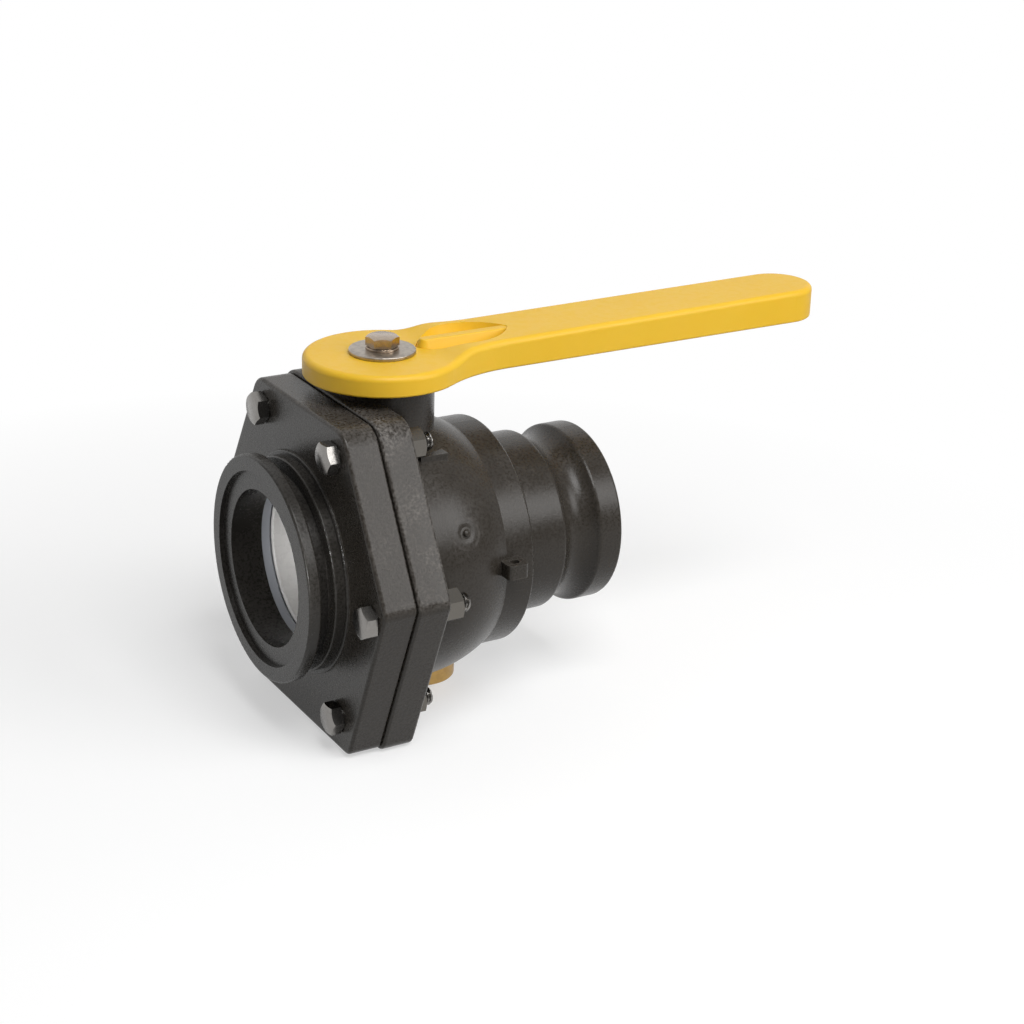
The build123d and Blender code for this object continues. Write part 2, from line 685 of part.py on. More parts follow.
# Handle: round hub, necked lever with a leaf-shaped pocket, cored underside, stem socket, stop pocket
lever_length = lever_reach - lever_tip_r
lever_slope = (lever_tip_top_z - lever_root_top_z) / (lever_reach - rise_end_x)
lever_narrowing = (lever_root_half_width - lever_tip_r) / (lever_length - lever_root_x)
lever_hub_half_width = lever_root_half_width + lever_narrowing * lever_root_x
with BuildPart() as handle:
    with BuildSketch(Plane.XY.offset(handle_bottom_z)):
        with Locations((stem_x, 0)):
            Circle(lever_hub_half_width)
        with Locations((stem_x + lever_length, 0)):
            Circle(lever_tip_r)
        make_hull()
        with Locations((stem_x, 0)):
            Circle(hub_r)
        neck_corners = vertices().filter_by_position(Axis.X, stem_x, stem_x + lever_root_x)
        fillet(neck_corners.filter_by(lambda corner: abs(corner.Y) > lever_tip_r), neck_side_r)
    extrude(amount=lever_tip_top_z + lever_headroom - handle_bottom_z)
    with BuildSketch(Plane.XZ):
        hub_back_x = stem_x - hub_r - cut_past
        rise_pull = rise_length / 2
        rise_middle = stem_x + rise_start_x + rise_pull
        clear_top_z = lever_tip_top_z + 2 * lever_headroom
        with BuildLine():
            Line((hub_back_x, hub_top_z), (stem_x + rise_start_x, hub_top_z))
            Bezier(
                (stem_x + rise_start_x, hub_top_z),
                (rise_middle, hub_top_z),
                (rise_middle, lever_root_top_z - rise_pull * lever_slope),
                (stem_x + rise_end_x, lever_root_top_z),
            )
            Polyline(
                (stem_x + rise_end_x, lever_root_top_z),
                (stem_x + lever_reach + cut_past, lever_tip_top_z + cut_past * lever_slope),
                (stem_x + lever_reach + cut_past, clear_top_z),
                (hub_back_x, clear_top_z),
                (hub_back_x, hub_top_z),
            )
        make_face()
    extrude(amount=hub_r + cut_past, both=True, mode=Mode.SUBTRACT)
    top_faces = faces().filter_by(lambda face: face.normal_at().Z > up_facing)
    top_rim = top_faces.edges().filter_by(lambda edge: abs(edge.tangent_at(0.5).Y) < straight_across)
    fillet(top_rim, handle_top_edge_r)
    fillet(faces().sort_by(Axis.Z)[0].edges(), handle_bottom_edge_r)
    # Leaf-shaped pocket in the neck, parted by a spine with a round nose at the washer
    with BuildSketch(Plane.XY.offset(pocket_floor_z)):
        pocket_start = (stem_x + pocket_start_x, 0)
        pocket_end = (stem_x + pocket_end_x, 0)
        pocket_middle_x = stem_x + (pocket_start_x + pocket_end_x) / 2
        with BuildLine():
            for pocket_side in (-1, 1):
                pocket_middle = (pocket_middle_x, pocket_side * pocket_half_width)
                ThreePointArc(pocket_start, pocket_middle, pocket_end)
        make_face()
        fillet(vertices().sort_by(Axis.X)[0], pocket_corner_r)
    extrude(
        amount=lever_tip_top_z + lever_headroom - pocket_floor_z,
        taper=-pocket_side_deg,
        mode=Mode.SUBTRACT,
    )
    with BuildSketch(Plane.XY.offset(pocket_floor_z)):
        spine_nose_x = washer_r + spine_past_washer + spine_half_width
        with Locations((stem_x + (spine_nose_x + pocket_end_x) / 2, 0)):
            SlotCenterToCenter(pocket_end_x - spine_nose_x, 2 * spine_half_width)
    extrude(amount=lever_root_top_z - pocket_floor_z, taper=spine_side_deg)
    spine_top = faces().filter_by(Plane.XY).filter_by_position(
        Axis.Z, lever_root_top_z - match_within, lever_root_top_z + match_within
    )
    spine_rim = spine_top.edges().filter_by_position(Axis.X, stem_x, stem_x + rise_end_x - cut_past)
    fillet(spine_rim, spine_edge_r)
    # Cored underside with cross ribs
    with BuildSketch(Plane.XY.offset(handle_bottom_z)):
        with Locations((stem_x + core_start_x, 0)):
            Circle(lever_hub_half_width - lever_narrowing * core_start_x - core_wall)
        with Locations((stem_x + lever_length, 0)):
            Circle(lever_tip_r - core_wall)
        make_hull()
        core_pitch = (lever_length - core_start_x) / (core_rib_count + 1)
        for rib in range(core_rib_count):
            with Locations((stem_x + core_start_x + (rib + 1) * core_pitch, 0)):
                Rectangle(core_rib_thickness, 2 * hub_r, mode=Mode.SUBTRACT)
    extrude(amount=core_depth, mode=Mode.SUBTRACT)
    # Socket for the stem's square and pocket for the travel stop
    with BuildSketch(Plane.XY.offset(handle_bottom_z)):
        with Locations((stem_x, 0)):
            Rectangle(stem_square + 2 * socket_clearance, stem_square + 2 * socket_clearance)
    extrude(amount=hub_top_z - handle_bottom_z, mode=Mode.SUBTRACT)
    with BuildSketch(Plane.XY.offset(handle_bottom_z)):
        pocket_inner_r = stop_inner_r - stop_clearance
        pocket_outer_r = stop_outer_r + stop_clearance
        pocket_sweep_deg = stop_span_deg + travel_deg + 2 * stop_side_deg
        pocket_from_deg = stop_start_deg - stop_side_deg
        add(stop_sector(pocket_inner_r, pocket_outer_r, pocket_from_deg, pocket_sweep_deg))
    extrude(amount=boss_top_z + stop_height + stop_clearance - handle_bottom_z, mode=Mode.SUBTRACT)

# Handle bolt with its lock washer and flat washer
with BuildPart() as handle_washer:
    with BuildSketch(Plane.XY.offset(hub_top_z)):
        with Locations((stem_x, 0)):
            Circle(washer_r)
            Circle(washer_hole_r, mode=Mode.SUBTRACT)
    extrude(amount=washer_thickness)

with BuildPart() as handle_lock_washer:
    with BuildSketch(Plane.XY.offset(washer_top_z)):
        with Locations((stem_x, 0)):
            Circle(lock_washer_r)
            Circle(washer_hole_r, mode=Mode.SUBTRACT)
        with Locations((stem_x, lock_washer_r)):
            Rectangle(lock_washer_gap, 2 * lock_washer_r, mode=Mode.SUBTRACT)
    extrude(amount=lock_washer_thickness)

with BuildPart() as handle_bolt:
    with BuildSketch(Plane.XY.offset(handle_head_z)):
        with Locations((stem_x, 0)):
            RegularPolygon(hex_across_flats / 2, hex_sides, major_radius=False)
    extrude(amount=handle_head_height)
    chamfer(edges().group_by(Axis.Z)[-1], hex_chamfer)
    with BuildSketch(Plane.XY.offset(handle_head_z)):
        with Locations((stem_x, 0)):
            Circle(bolt_r)
    extrude(amount=-handle_bolt_length)
    chamfer(edges().group_by(Axis.Z)[0], hex_chamfer)

# Drain plug screwed into the boss under the chamber, with its ring in the head
with BuildPart() as drain_plug:
    with BuildSketch(Plane.XY.offset(drain_face_z)):
        with Locations((drain_x, 0)):
            Circle(plug_head_r)
    extrude(amount=-plug_head_height)
    fillet(edges().group_by(Axis.Z)[0], plug_head_edge_r)
    with BuildSketch(Plane.XY.offset(drain_face_z)):
        with Locations((drain_x, 0)):
            Circle(plug_shank_r)
    extrude(amount=plug_shank_length)
    with BuildSketch(Plane.XY.offset(drain_face_z)):
        with Locations((drain_x, 0)):
            Circle(plug_ring_inner_r + plug_ring_width)
            Circle(plug_ring_inner_r, mode=Mode.SUBTRACT)
    extrude(amount=-plug_ring_depth, mode=Mode.SUBTRACT)
    with BuildSketch(Plane.XY.offset(drain_face_z - plug_head_height)):
        with Locations((drain_x, 0)):
            RegularPolygon(plug_socket_across_flats / 2, hex_sides, major_radius=False)
    extrude(amount=plug_socket_depth, mode=Mode.SUBTRACT)

with BuildPart() as drain_plug_o_ring:
    with BuildSketch(Plane.XZ):
        plug_ring_x = drain_x + plug_ring_inner_r + plug_ring_width / 2
        with Locations((plug_ring_x, drain_face_z - plug_ring_depth / 2)):
            Rectangle(plug_ring_width - 2 * ring_side_clearance, plug_ring_depth)
        chamfer(vertices(), ring_bevel)
    revolve(axis=drain_axis)

# One file for each piece
pieces = {
    "valve_body": valve_body,
    "inlet_cover": inlet_cover,
    "ball": ball,
    "stem": stem,
    "inlet_seat": inlet_seat,
    "outlet_seat": outlet_seat,
    "inlet_seat_o_ring": inlet_seat_o_ring,
    "outlet_seat_o_ring": outlet_seat_o_ring,
    "body_o_ring": body_o_ring,
    "lower_stem_o_ring": lower_stem_o_ring,
    "upper_stem_o_ring": upper_stem_o_ring,
    "stem_thrust_washer": stem_thrust_washer,
    "flange_bolts": flange_bolts,
    "flange_nuts": flange_nuts,
    "handle": handle,
    "handle_washer": handle_washer,
    "handle_lock_washer": handle_lock_washer,
    "handle_bolt": handle_bolt,
    "drain_plug": drain_plug,
    "drain_plug_o_ring": drain_plug_o_ring,
}
os.makedirs("parts", exist_ok=True)
for name, piece in pieces.items():
    piece.part.label = name
    export_step(piece.part, f"parts/{name}.step")
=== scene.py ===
"""Looks of a bolted ball valve: moulded finishes, detailed fasteners and a white studio stage.

Everything is in metres, in the frame of the part: +X runs with the flow and +Z up the stem.
"""

import json
import math

import bmesh
import bpy
from bpy.props import FloatProperty, FloatVectorProperty, PointerProperty
from bpy.types import NodeSocket, Operator, Panel, PropertyGroup
from mathutils import Matrix, Vector


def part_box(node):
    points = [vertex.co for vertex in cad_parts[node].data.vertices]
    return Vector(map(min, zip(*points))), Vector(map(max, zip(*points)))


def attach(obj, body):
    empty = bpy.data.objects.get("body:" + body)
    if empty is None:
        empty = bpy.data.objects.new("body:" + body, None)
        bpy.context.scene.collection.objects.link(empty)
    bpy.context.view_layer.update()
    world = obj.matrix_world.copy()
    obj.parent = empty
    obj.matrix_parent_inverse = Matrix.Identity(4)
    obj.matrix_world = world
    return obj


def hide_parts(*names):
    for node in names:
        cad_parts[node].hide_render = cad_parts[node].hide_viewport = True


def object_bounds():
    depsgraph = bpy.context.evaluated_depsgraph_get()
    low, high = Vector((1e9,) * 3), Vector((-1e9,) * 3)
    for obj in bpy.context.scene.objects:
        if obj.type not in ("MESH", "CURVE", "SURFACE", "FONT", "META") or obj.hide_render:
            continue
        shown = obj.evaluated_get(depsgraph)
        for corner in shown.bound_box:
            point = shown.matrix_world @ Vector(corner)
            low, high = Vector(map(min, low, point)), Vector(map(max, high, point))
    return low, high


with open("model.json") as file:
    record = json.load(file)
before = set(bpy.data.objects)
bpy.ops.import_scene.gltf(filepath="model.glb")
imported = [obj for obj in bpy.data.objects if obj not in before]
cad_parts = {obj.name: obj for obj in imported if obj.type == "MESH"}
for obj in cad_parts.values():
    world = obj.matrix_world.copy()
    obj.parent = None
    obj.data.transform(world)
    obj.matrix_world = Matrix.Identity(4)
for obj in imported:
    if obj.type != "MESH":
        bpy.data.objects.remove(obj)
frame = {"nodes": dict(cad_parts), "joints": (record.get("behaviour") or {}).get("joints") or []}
cad_low, cad_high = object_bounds()

bl_info = {
    "name": "Bolted ball valve",
    "version": (1, 0, 0),
    "blender": (4, 5, 0),
    "location": "View3D > Sidebar > Valve",
    "description": "Dresses a bolted ball valve and sets it on a white studio stage",
    "category": "Object",
}

HOUSING = "housing"
TURNING = "handle_and_ball"
FLOAT = "NodeSocketFloat"

# How far each flange bolt and nut was turned when it was tightened, in degrees, near side first
HEAD_TURNS = (30.0, 0.0, 30.0, 12.0, 0.0, 21.0)
NUT_TURNS = (0.0, 0.0, 0.0, 24.0, 0.0, 9.0)
HANDLE_BOLT_TURN = -26.0

# Height of the flange bolts' heads, which stand on the cover's front
FLANGE_HEAD_HEIGHT = 0.0043

# Sides of the fasteners' round faces, of their shanks and of the nuts' holes, and rows in one thread pitch
FACE_SIDES = 96
SHANK_SIDES = 40
HOLE_SIDES = 64
PITCH_ROWS = 8.0

# Shares: washer face of the width across flats, countersink of the hole, thread of the handle bolt's shank
WASHER_FACE_SHARE = 0.47
COUNTERSINK_SHARE = 1.22
HANDLE_THREAD_SHARE = 0.7

# Distance under which a fastener's points are welded, and the angle above which an edge stays sharp
WELD_DISTANCE = 4e-6
SHARP_DEG = 32.0

# Steps round the flat washer and the lock washer
WASHER_STEPS = 128
LOCK_STEPS = 96

# Reach of the flange's near edge: down and up from its side corner, inwards, and forwards from the back
EDGE_BELOW = 0.009
EDGE_ABOVE = 0.048
EDGE_DEPTH = 0.0072
EDGE_LENGTH = 0.0105

# Where the edge's inner line passes round the bolt's hole: along the upper side and in from it
HOLE_PASS = ((0.008, EDGE_DEPTH), (0.002, 0.004))
FOOT_DEPTH = 0.003

# Steps of the side corner's round and segments of the back edge's
CORNER_STEPS = 12
BACK_SEGMENTS = 6

# Heights of the gate's mark above the chamber, in millimetres at radii from its middle
GATE_PROFILE = (
    (0.0, 0.75), (0.6, 0.72), (0.95, 0.56), (1.15, 0.2), (1.3, -0.15), (1.7, -0.3),
    (2.3, -0.2), (3.0, -0.05), (3.6, 0.006), (4.6, 0.008), (5.4, 0.006),
)
GATE_STEPS = 72

# Places of the light panels from what they face, and the panels' sizes
KEY_PLACE = Vector((-0.08, -0.52, 0.85))
SIDE_PLACE = Vector((0.48, -0.72, 0.5))
BORE_PLACE = Vector((-0.44, -0.52, 0.12))
PANEL_SIZE = 0.5
BORE_PANEL_SIZE = 0.03
BORE_SPREAD_DEG = 5.0

# Spot on the ball's bore that the bore panel lights, from the ball's centre
BALL_WALL = Vector((-0.01, 0.018, -0.004))

# Gap under the valve, and where the floor starts and ends its fade to white
FLOOR_GAP = 0.0002
FLOOR_NEAR = 0.12
FLOOR_FAR = 0.34

# Places read from the frame
stem_x = frame["joints"][0]["pos_m"][0]
bolts_low, bolts_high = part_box("flange_bolts")
cover_front = bolts_low.x + FLANGE_HEAD_HEIGHT
seam_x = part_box("valve_body")[0].x
nuts_low, nuts_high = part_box("flange_nuts")
handle_bolt_low, handle_bolt_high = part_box("handle_bolt")
washer_low, washer_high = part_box("handle_washer")
lock_low, lock_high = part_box("handle_lock_washer")


def colour_property(name, description, default):
    return FloatVectorProperty(
        name=name, description=description, subtype="COLOR", size=3, min=0.0, max=1.0, default=default
    )


def length_property(name, description, default):
    return FloatProperty(
        name=name, description=description, subtype="DISTANCE", unit="LENGTH", min=0.0, precision=5,
        default=default,
    )


def angle_property(name, description, default):
    return FloatProperty(name=name, description=description, subtype="ANGLE", default=default)


def level_property(name, description, default):
    return FloatProperty(name=name, description=description, default=default, min=0.0)


class ValveFinish(PropertyGroup):
    """Colours and surface sizes of the valve's materials."""

    black: colour_property("Black plastic", "Moulded body and cover", (0.029, 0.0245, 0.0195))
    # Darker than the body's black: partly the ring's smoother turned finish, partly painted shade for the
    # dark reflection on the ring's face and the shaded collars
    smooth_black: colour_property("Smooth black", "Inlet ring and collars", (0.02, 0.018, 0.0155))
    bloom: colour_property("Bloom", "Chalky grey on rubbed black plastic", (0.17, 0.158, 0.146))
    yellow: colour_property("Yellow plastic", "Moulded handle", (0.76, 0.455, 0.018))
    yellow_worn: colour_property("Worn yellow", "Paler rubbed edges of the handle", (0.84, 0.58, 0.09))
    steel: colour_property("Steel", "Bolts, nuts and washers", (0.25, 0.24, 0.227))
    # The flange nuts' steel is the bolts' steel darkened: painted shade for the nuts' place behind the
    # flange
    nut: colour_property("Nut steel", "Steel of the flange nuts, darkened as painted shade", (0.15, 0.14, 0.125))
    # The handle bolt's warm tint is painted reflection of the yellow handle on plain steel
    handle_bolt: colour_property("Handle bolt", "Steel of the handle's bolt, warm as painted reflection of the yellow handle", (0.44, 0.36, 0.285))
    washer: colour_property("Washer steel", "Flat washer under the handle bolt", (0.41, 0.365, 0.315))
    steel_stain: colour_property("Steel stain", "Dull patches on the fasteners", (0.13, 0.12, 0.11))
    brass: colour_property("Brass", "Drain plug", (0.45, 0.285, 0.098))
    brass_stain: colour_property("Brass stain", "Tarnish on the drain plug", (0.30, 0.19, 0.08))
    seat: colour_property("Seat", "Seats and thrust washer", (0.42, 0.44, 0.48))
    ball: colour_property("Ball", "Turned ball", (0.80, 0.785, 0.765))
    rubber: colour_property("Rubber", "Seal rings", (0.018, 0.018, 0.018))
    grain: length_property("Grain", "Size of the moulded plastic's grain", 0.00045)
    mottle: length_property("Mottle", "Size of the patches on the moulded plastic", 0.0009)
    rub_width: length_property("Rub width", "How far wear reaches from an edge", 0.0007)


class ValveFasteners(PropertyGroup):
    """Sizes of the hexagonal fasteners and the washers."""

    top_bolts: angle_property("Top bolts", "Turn of the top bolts above level", math.radians(60))
    lower_bolts: angle_property("Lower bolts", "Turn of the lower bolts below level", math.radians(56.6))
    bolt_circle: length_property("Bolt circle", "Flow axis to the flange bolts", 0.053)
    across_flats: length_property("Across flats", "Width of bolt heads and nuts", 0.0097)
    shank_radius: length_property("Shank radius", "Outer radius of the threads", 0.003175)
    flange_head: length_property("Flange head", "Height of the flange bolts' heads", FLANGE_HEAD_HEIGHT)
    handle_head: length_property("Handle head", "Height of the handle bolt's head", 0.0036)
    washer_face: length_property("Washer face", "Thickness of the face under a head", 0.00035)
    face_share: FloatProperty(
        name="Face share", description="Round top of a hexagon as a share of its width", default=0.95
    )
    pitch: length_property("Pitch", "Thread pitch", 0.00127)
    thread_depth: length_property("Thread depth", "Depth of the thread", 0.0006)
    nut_bore: length_property("Nut bore", "Radius of the nuts' holes", 0.003215)
    washer_hole: length_property("Washer hole", "Radius of the washers' holes", 0.0035)
    washer_edge: length_property("Washer edge", "Rolled edge of the flat washer", 0.0004)
    lock_gap: angle_property("Lock gap", "Split of the lock washer", math.radians(9))


class ValveBodyForm(PropertyGroup):
    """Forms that finish the moulded body: the flange's near edge and the moulding gate's mark."""

    top_corner: length_property("Top corner", "Flow axis to the flange's top corner, across", 0.0327)
    side_corner: length_property("Side corner", "Flow axis to the flange's side corner, across", 0.0628)
    side_rise: length_property("Side corner rise", "Height of the side corner above the flow", 0.0045)
    foot_corner: length_property("Foot corner", "Flow axis to the flange's foot corner, across", 0.0372253)
    corner_round: length_property("Corner round", "Radius of the side corner", 0.005)
    back_round: length_property("Back round", "Radius of the flange's back edge", 0.0012)
    chamber_radius: length_property("Chamber radius", "Outside of the round chamber", 0.046)
    chamber_offset: length_property("Chamber offset", "Chamber's centre past the stem", 0.003)
    gate_rise: angle_property("Gate rise", "Gate above level", math.radians(23.4))
    gate_turn: angle_property("Gate turn", "Gate towards the outlet", math.radians(8.4))
    hollow_radius: length_property("Hollow radius", "Round hollow that the gate leaves", 0.045)
    hollow_depth: length_property("Hollow depth", "How deep the hollow is in the chamber", 0.0007)
    gate_reach: length_property("Gate reach", "Radius of the gate's mark", 0.0056)


class ValveStage(PropertyGroup):
    """Camera, lights and floor."""

    focal: FloatProperty(
        name="Focal length", description="Camera lens", subtype="DISTANCE_CAMERA", default=75.62
    )
    azimuth: angle_property("Azimuth", "Turn of the camera about the valve", -0.5448)
    elevation: angle_property("Elevation", "Camera above the horizon", 0.3833)
    roll: angle_property("Roll", "Tilt of the picture", 0.0307)
    distance: length_property("Distance", "Camera to target", 0.75218)
    target: FloatVectorProperty(
        name="Target", description="Point at the middle of the picture", subtype="XYZ", unit="LENGTH",
        default=(0.09638, 0.0, 0.00293),
    )
    ambient: level_property("Ambient", "Light from all round", 0.12)
    key_light: level_property("Key light", "Watts of the high panel", 7.5)
    side_light: level_property("Side light", "Watts of the side panel", 4.6)
    far_fill: level_property("Far fill", "Light from the far side", 0.5)
    bore_light: level_property("Bore light", "Watts of the gridded panel", 0.004)
    floor: colour_property("Floor", "Pale studio floor", (0.5, 0.5, 0.5))


def put(tree, kind, inputs=None, **settings):
    """Adds a node, sets its options, then sets or links its inputs."""
    node = tree.nodes.new(kind)
    for name, value in settings.items():
        setattr(node, name, value)
    for key, value in (inputs or {}).items():
        if isinstance(value, NodeSocket):
            tree.links.new(value, node.inputs[key])
        else:
            node.inputs[key].default_value = value
    return node


def maths(tree, operation, first, second=0.0):
    """The result of a Math node on two values or sockets."""
    return put(tree, "ShaderNodeMath", {0: first, 1: second}, operation=operation).outputs[0]


def times(tree, first, second):
    """The product of two values or sockets."""
    return maths(tree, "MULTIPLY", first, second)


def spread(tree, value, low, high, to_low=0.0, to_high=1.0):
    """A value mapped from one span to another and held inside it."""
    spans = {"Value": value, "From Min": low, "From Max": high, "To Min": to_low, "To Max": to_high}
    return put(tree, "ShaderNodeMapRange", spans).outputs[0]


def blended(tree, share, first, second):
    """A colour between two colours, each a socket or three channels."""
    ends = [end if isinstance(end, NodeSocket) else (*end, 1.0) for end in (first, second)]
    return put(tree, "ShaderNodeMix", {0: share, 6: ends[0], 7: ends[1]}, data_type="RGBA").outputs[2]


def new_tree(name, kind, inputs, outputs):
    """A node group with named sockets; returns the tree, its input sockets and its output node."""
    tree = bpy.data.node_groups.new(name, kind)
    for label, socket_kind, default in inputs:
        socket = tree.interface.new_socket(label, in_out="INPUT", socket_type=socket_kind)
        if default is not None:
            socket.default_value = default
    for label, socket_kind in outputs:
        tree.interface.new_socket(label, in_out="OUTPUT", socket_type=socket_kind)
    return tree, tree.nodes.new("NodeGroupInput").outputs, tree.nodes.new("NodeGroupOutput")


def own_place(tree):
    """The piece's own coordinates."""
    return put(tree, "ShaderNodeTexCoord").outputs["Object"]


def noise_at(tree, scale, detail=2.0, roughness=0.5, stretch=None):
    """Noise on the piece's own coordinates."""
    vector = own_place(tree)
    if stretch is not None:
        vector = put(tree, "ShaderNodeMapping", {"Vector": vector, **stretch}).outputs[0]
    settings = {"Vector": vector, "Scale": scale, "Detail": detail, "Roughness": roughness}
    return put(tree, "ShaderNodeTexNoise", settings).outputs["Fac"]


def moulded_grain():
    """Fine grain and cloudy patches of a moulded plastic."""
    tree, given, result = new_tree(
        "Moulded grain",
        "ShaderNodeTree",
        [("Grain Size", FLOAT, 0.0005), ("Mottle Size", FLOAT, 0.0016)],
        [("Height", FLOAT), ("Mottle", FLOAT), ("Cloud", FLOAT)],
    )
    grain_scale = maths(tree, "DIVIDE", 1.0, given["Grain Size"])
    mottle_scale = maths(tree, "DIVIDE", 1.0, given["Mottle Size"])
    cloud_scale = maths(tree, "DIVIDE", mottle_scale, 14.0)
    grain = noise_at(tree, grain_scale)
    mottle = noise_at(tree, mottle_scale, detail=3.0, roughness=0.62)
    cloud = noise_at(tree, cloud_scale)
    tree.links.new(grain, result.inputs["Height"])
    tree.links.new(spread(tree, mottle, 0.42, 0.72), result.inputs["Mottle"])
    tree.links.new(spread(tree, cloud, 0.35, 0.68), result.inputs["Cloud"])
    return tree


def rubbed_edges():
    """Where a surface turns sharply and handling has rubbed it."""
    tree, given, result = new_tree(
        "Rubbed edges",
        "ShaderNodeTree",
        [("Width", FLOAT, 0.0007), ("Break Size", FLOAT, 0.002)],
        [("Mask", FLOAT)],
    )
    rounded = put(tree, "ShaderNodeBevel", {"Radius": given["Width"]}, samples=6).outputs[0]
    straight = put(tree, "ShaderNodeNewGeometry").outputs["Normal"]
    along = put(tree, "ShaderNodeVectorMath", {0: rounded, 1: straight}, operation="DOT_PRODUCT")
    turned = spread(tree, along.outputs["Value"], 0.995, 0.93)
    breaks = noise_at(tree, maths(tree, "DIVIDE", 1.0, given["Break Size"]), detail=3.0)
    broken = times(tree, turned, spread(tree, breaks, 0.38, 0.62))
    tree.links.new(broken, result.inputs["Mask"])
    return tree


def handling_marks():
    """Sparse thin scuffs that run along and across the piece."""
    tree, given, result = new_tree(
        "Handling marks",
        "ShaderNodeTree",
        [("Mark Size", FLOAT, 0.004)],
        [("Mask", FLOAT)],
    )
    scale = maths(tree, "DIVIDE", 1.0, given["Mark Size"])
    lengthwise = {"Scale": (0.25, 3.0, 3.0), "Rotation": (0.3, 0.2, 0.5)}
    upright = {"Scale": (3.0, 3.0, 0.25), "Rotation": (0.5, 0.1, 0.2)}
    streaks = [noise_at(tree, scale, 4.0, 0.6, stretch) for stretch in (lengthwise, upright)]
    masks = [spread(tree, streak, 0.66, 0.74) for streak in streaks]
    tree.links.new(maths(tree, "MAXIMUM", *masks), result.inputs["Mask"])
    return tree


def shared_group(make):
    """A shader group, built once."""
    name = make.__name__.replace("_", " ").capitalize()
    return bpy.data.node_groups.get(name) or make()


def use_group(tree, make, **inputs):
    """Places a shared shader group; its inputs are given by name with underscores for spaces."""
    node = put(tree, "ShaderNodeGroup", node_tree=shared_group(make))
    for name, value in inputs.items():
        node.inputs[name.replace("_", " ").title()].default_value = value
    return node.outputs


def new_material(name, **values):
    """A material with one Principled shader whose uniform values are set on its own sockets."""
    material = bpy.data.materials.new(name)
    material.use_nodes = True
    shader = material.node_tree.nodes["Principled BSDF"]
    for label, value in values.items():
        shader.inputs[label.replace("_", " ").title().replace("Ior", "IOR")].default_value = value
    return material, material.node_tree, shader


def surface(tree, shader, colour, roughness, height, strength, distance):
    """Feeds the shader a colour and a roughness, and lets a height raise its surface."""
    tree.links.new(colour, shader.inputs["Base Color"])
    tree.links.new(roughness, shader.inputs["Roughness"])
    relief = {"Height": height, "Strength": strength, "Distance": distance}
    tree.links.new(put(tree, "ShaderNodeBump", relief).outputs[0], shader.inputs["Normal"])


def black_plastic(finish):
    """Moulded black polypropylene with a chalky bloom, rubbed edges and scuffs; painted light pales the
    upper faces, and the inlet ring is darker, partly a smoother finish and partly painted shade.
    """
    material, tree, shader = new_material("black moulded plastic", Specular_Ior_Level=0.25)
    grain = use_group(tree, moulded_grain, grain_size=finish.grain, mottle_size=finish.mottle)
    edge = use_group(tree, rubbed_edges, width=finish.rub_width)["Mask"]
    marks = use_group(tree, handling_marks)["Mask"]
    # Bloom grows on faces that turn up and fades on faces that turn down: painted light, paler upper faces
    # and darker lower ones
    facing = put(tree, "ShaderNodeSeparateXYZ", {0: put(tree, "ShaderNodeNewGeometry").outputs["Normal"]})
    upward_painted_light = spread(tree, facing.outputs[2], -0.15, 0.4, 0.08, 1.0)
    along = put(tree, "ShaderNodeSeparateXYZ", {0: own_place(tree)}).outputs[0]
    # The body's flange is rubbed most; what lies behind it and the inlet ring keep more of their black
    handled = spread(tree, along, seam_x - 0.0002, seam_x, 1.0, 2.0)
    behind = spread(tree, along, nuts_low.x - 0.0004, nuts_low.x, 1.0, 0.2)
    flanged = times(tree, handled, behind)
    clouded = times(tree, flanged, spread(tree, grain["Cloud"], 0.0, 1.0, 0.2, 0.6))
    patches = times(tree, grain["Mottle"], clouded)
    worn = times(tree, edge, 0.30)
    scuffed = times(tree, marks, 0.35)
    # Scuffs and bloom patches, weighted by the upward painted light
    rubbed = times(tree, maths(tree, "MAXIMUM", scuffed, patches), upward_painted_light)
    # The inlet ring and collars take the smooth black, partly painted shade, and keep less bloom
    moulded = spread(tree, along, cover_front - 0.0003, cover_front - 0.0002)
    kept = spread(tree, moulded, 0.0, 1.0, 0.4, 1.0)
    bloom = times(tree, maths(tree, "MAXIMUM", worn, rubbed), kept)
    plain = blended(tree, moulded, finish.smooth_black, finish.black)
    colour = blended(tree, bloom, plain, finish.bloom)
    roughness = spread(tree, bloom, 0.0, 0.6, 0.27, 0.58)
    height = maths(tree, "ADD", grain["Height"], grain["Mottle"])
    surface(tree, shader, colour, roughness, height, 0.10, 0.0002)
    return material


def yellow_plastic(finish):
    """Moulded yellow handle plastic, a little paler where hands rub it."""
    material, tree, shader = new_material(
        "yellow moulded plastic", Specular_Ior_Level=0.4, Subsurface_Weight=0.06, Subsurface_Scale=0.002
    )
    grain = use_group(tree, moulded_grain, grain_size=finish.grain, mottle_size=3 * finish.mottle)
    edge = use_group(tree, rubbed_edges, width=finish.rub_width)["Mask"]
    pale = times(tree, maths(tree, "MAXIMUM", edge, grain["Cloud"]), 0.12)
    colour = blended(tree, pale, finish.yellow, finish.yellow_worn)
    roughness = spread(tree, grain["Mottle"], 0.0, 1.0, 0.42, 0.52)
    surface(tree, shader, colour, roughness, grain["Height"], 0.10, 0.0002)
    return material


def stained_metal(name, colour, stain, roughness_span, stain_size, stain_share):
    """Bare metal with dull patches, rubbed bright edges and fine marks."""
    material, tree, shader = new_material(name, Metallic=1.0)
    grain = use_group(tree, moulded_grain, grain_size=stain_size / 8, mottle_size=stain_size)
    edge = use_group(tree, rubbed_edges, width=0.0003)["Mask"]
    marks = use_group(tree, handling_marks, mark_size=stain_size)["Mask"]
    dull = times(tree, maths(tree, "MAXIMUM", grain["Mottle"], marks), stain_share)
    clean = maths(tree, "SUBTRACT", dull, times(tree, edge, 0.6))
    dulled = spread(tree, clean, 0.0, 1.0)
    stained = blended(tree, dulled, colour, stain)
    roughness = spread(tree, dulled, 0.0, 1.0, *roughness_span)
    surface(tree, shader, stained, roughness, grain["Height"], 0.12, 0.0001)
    return material


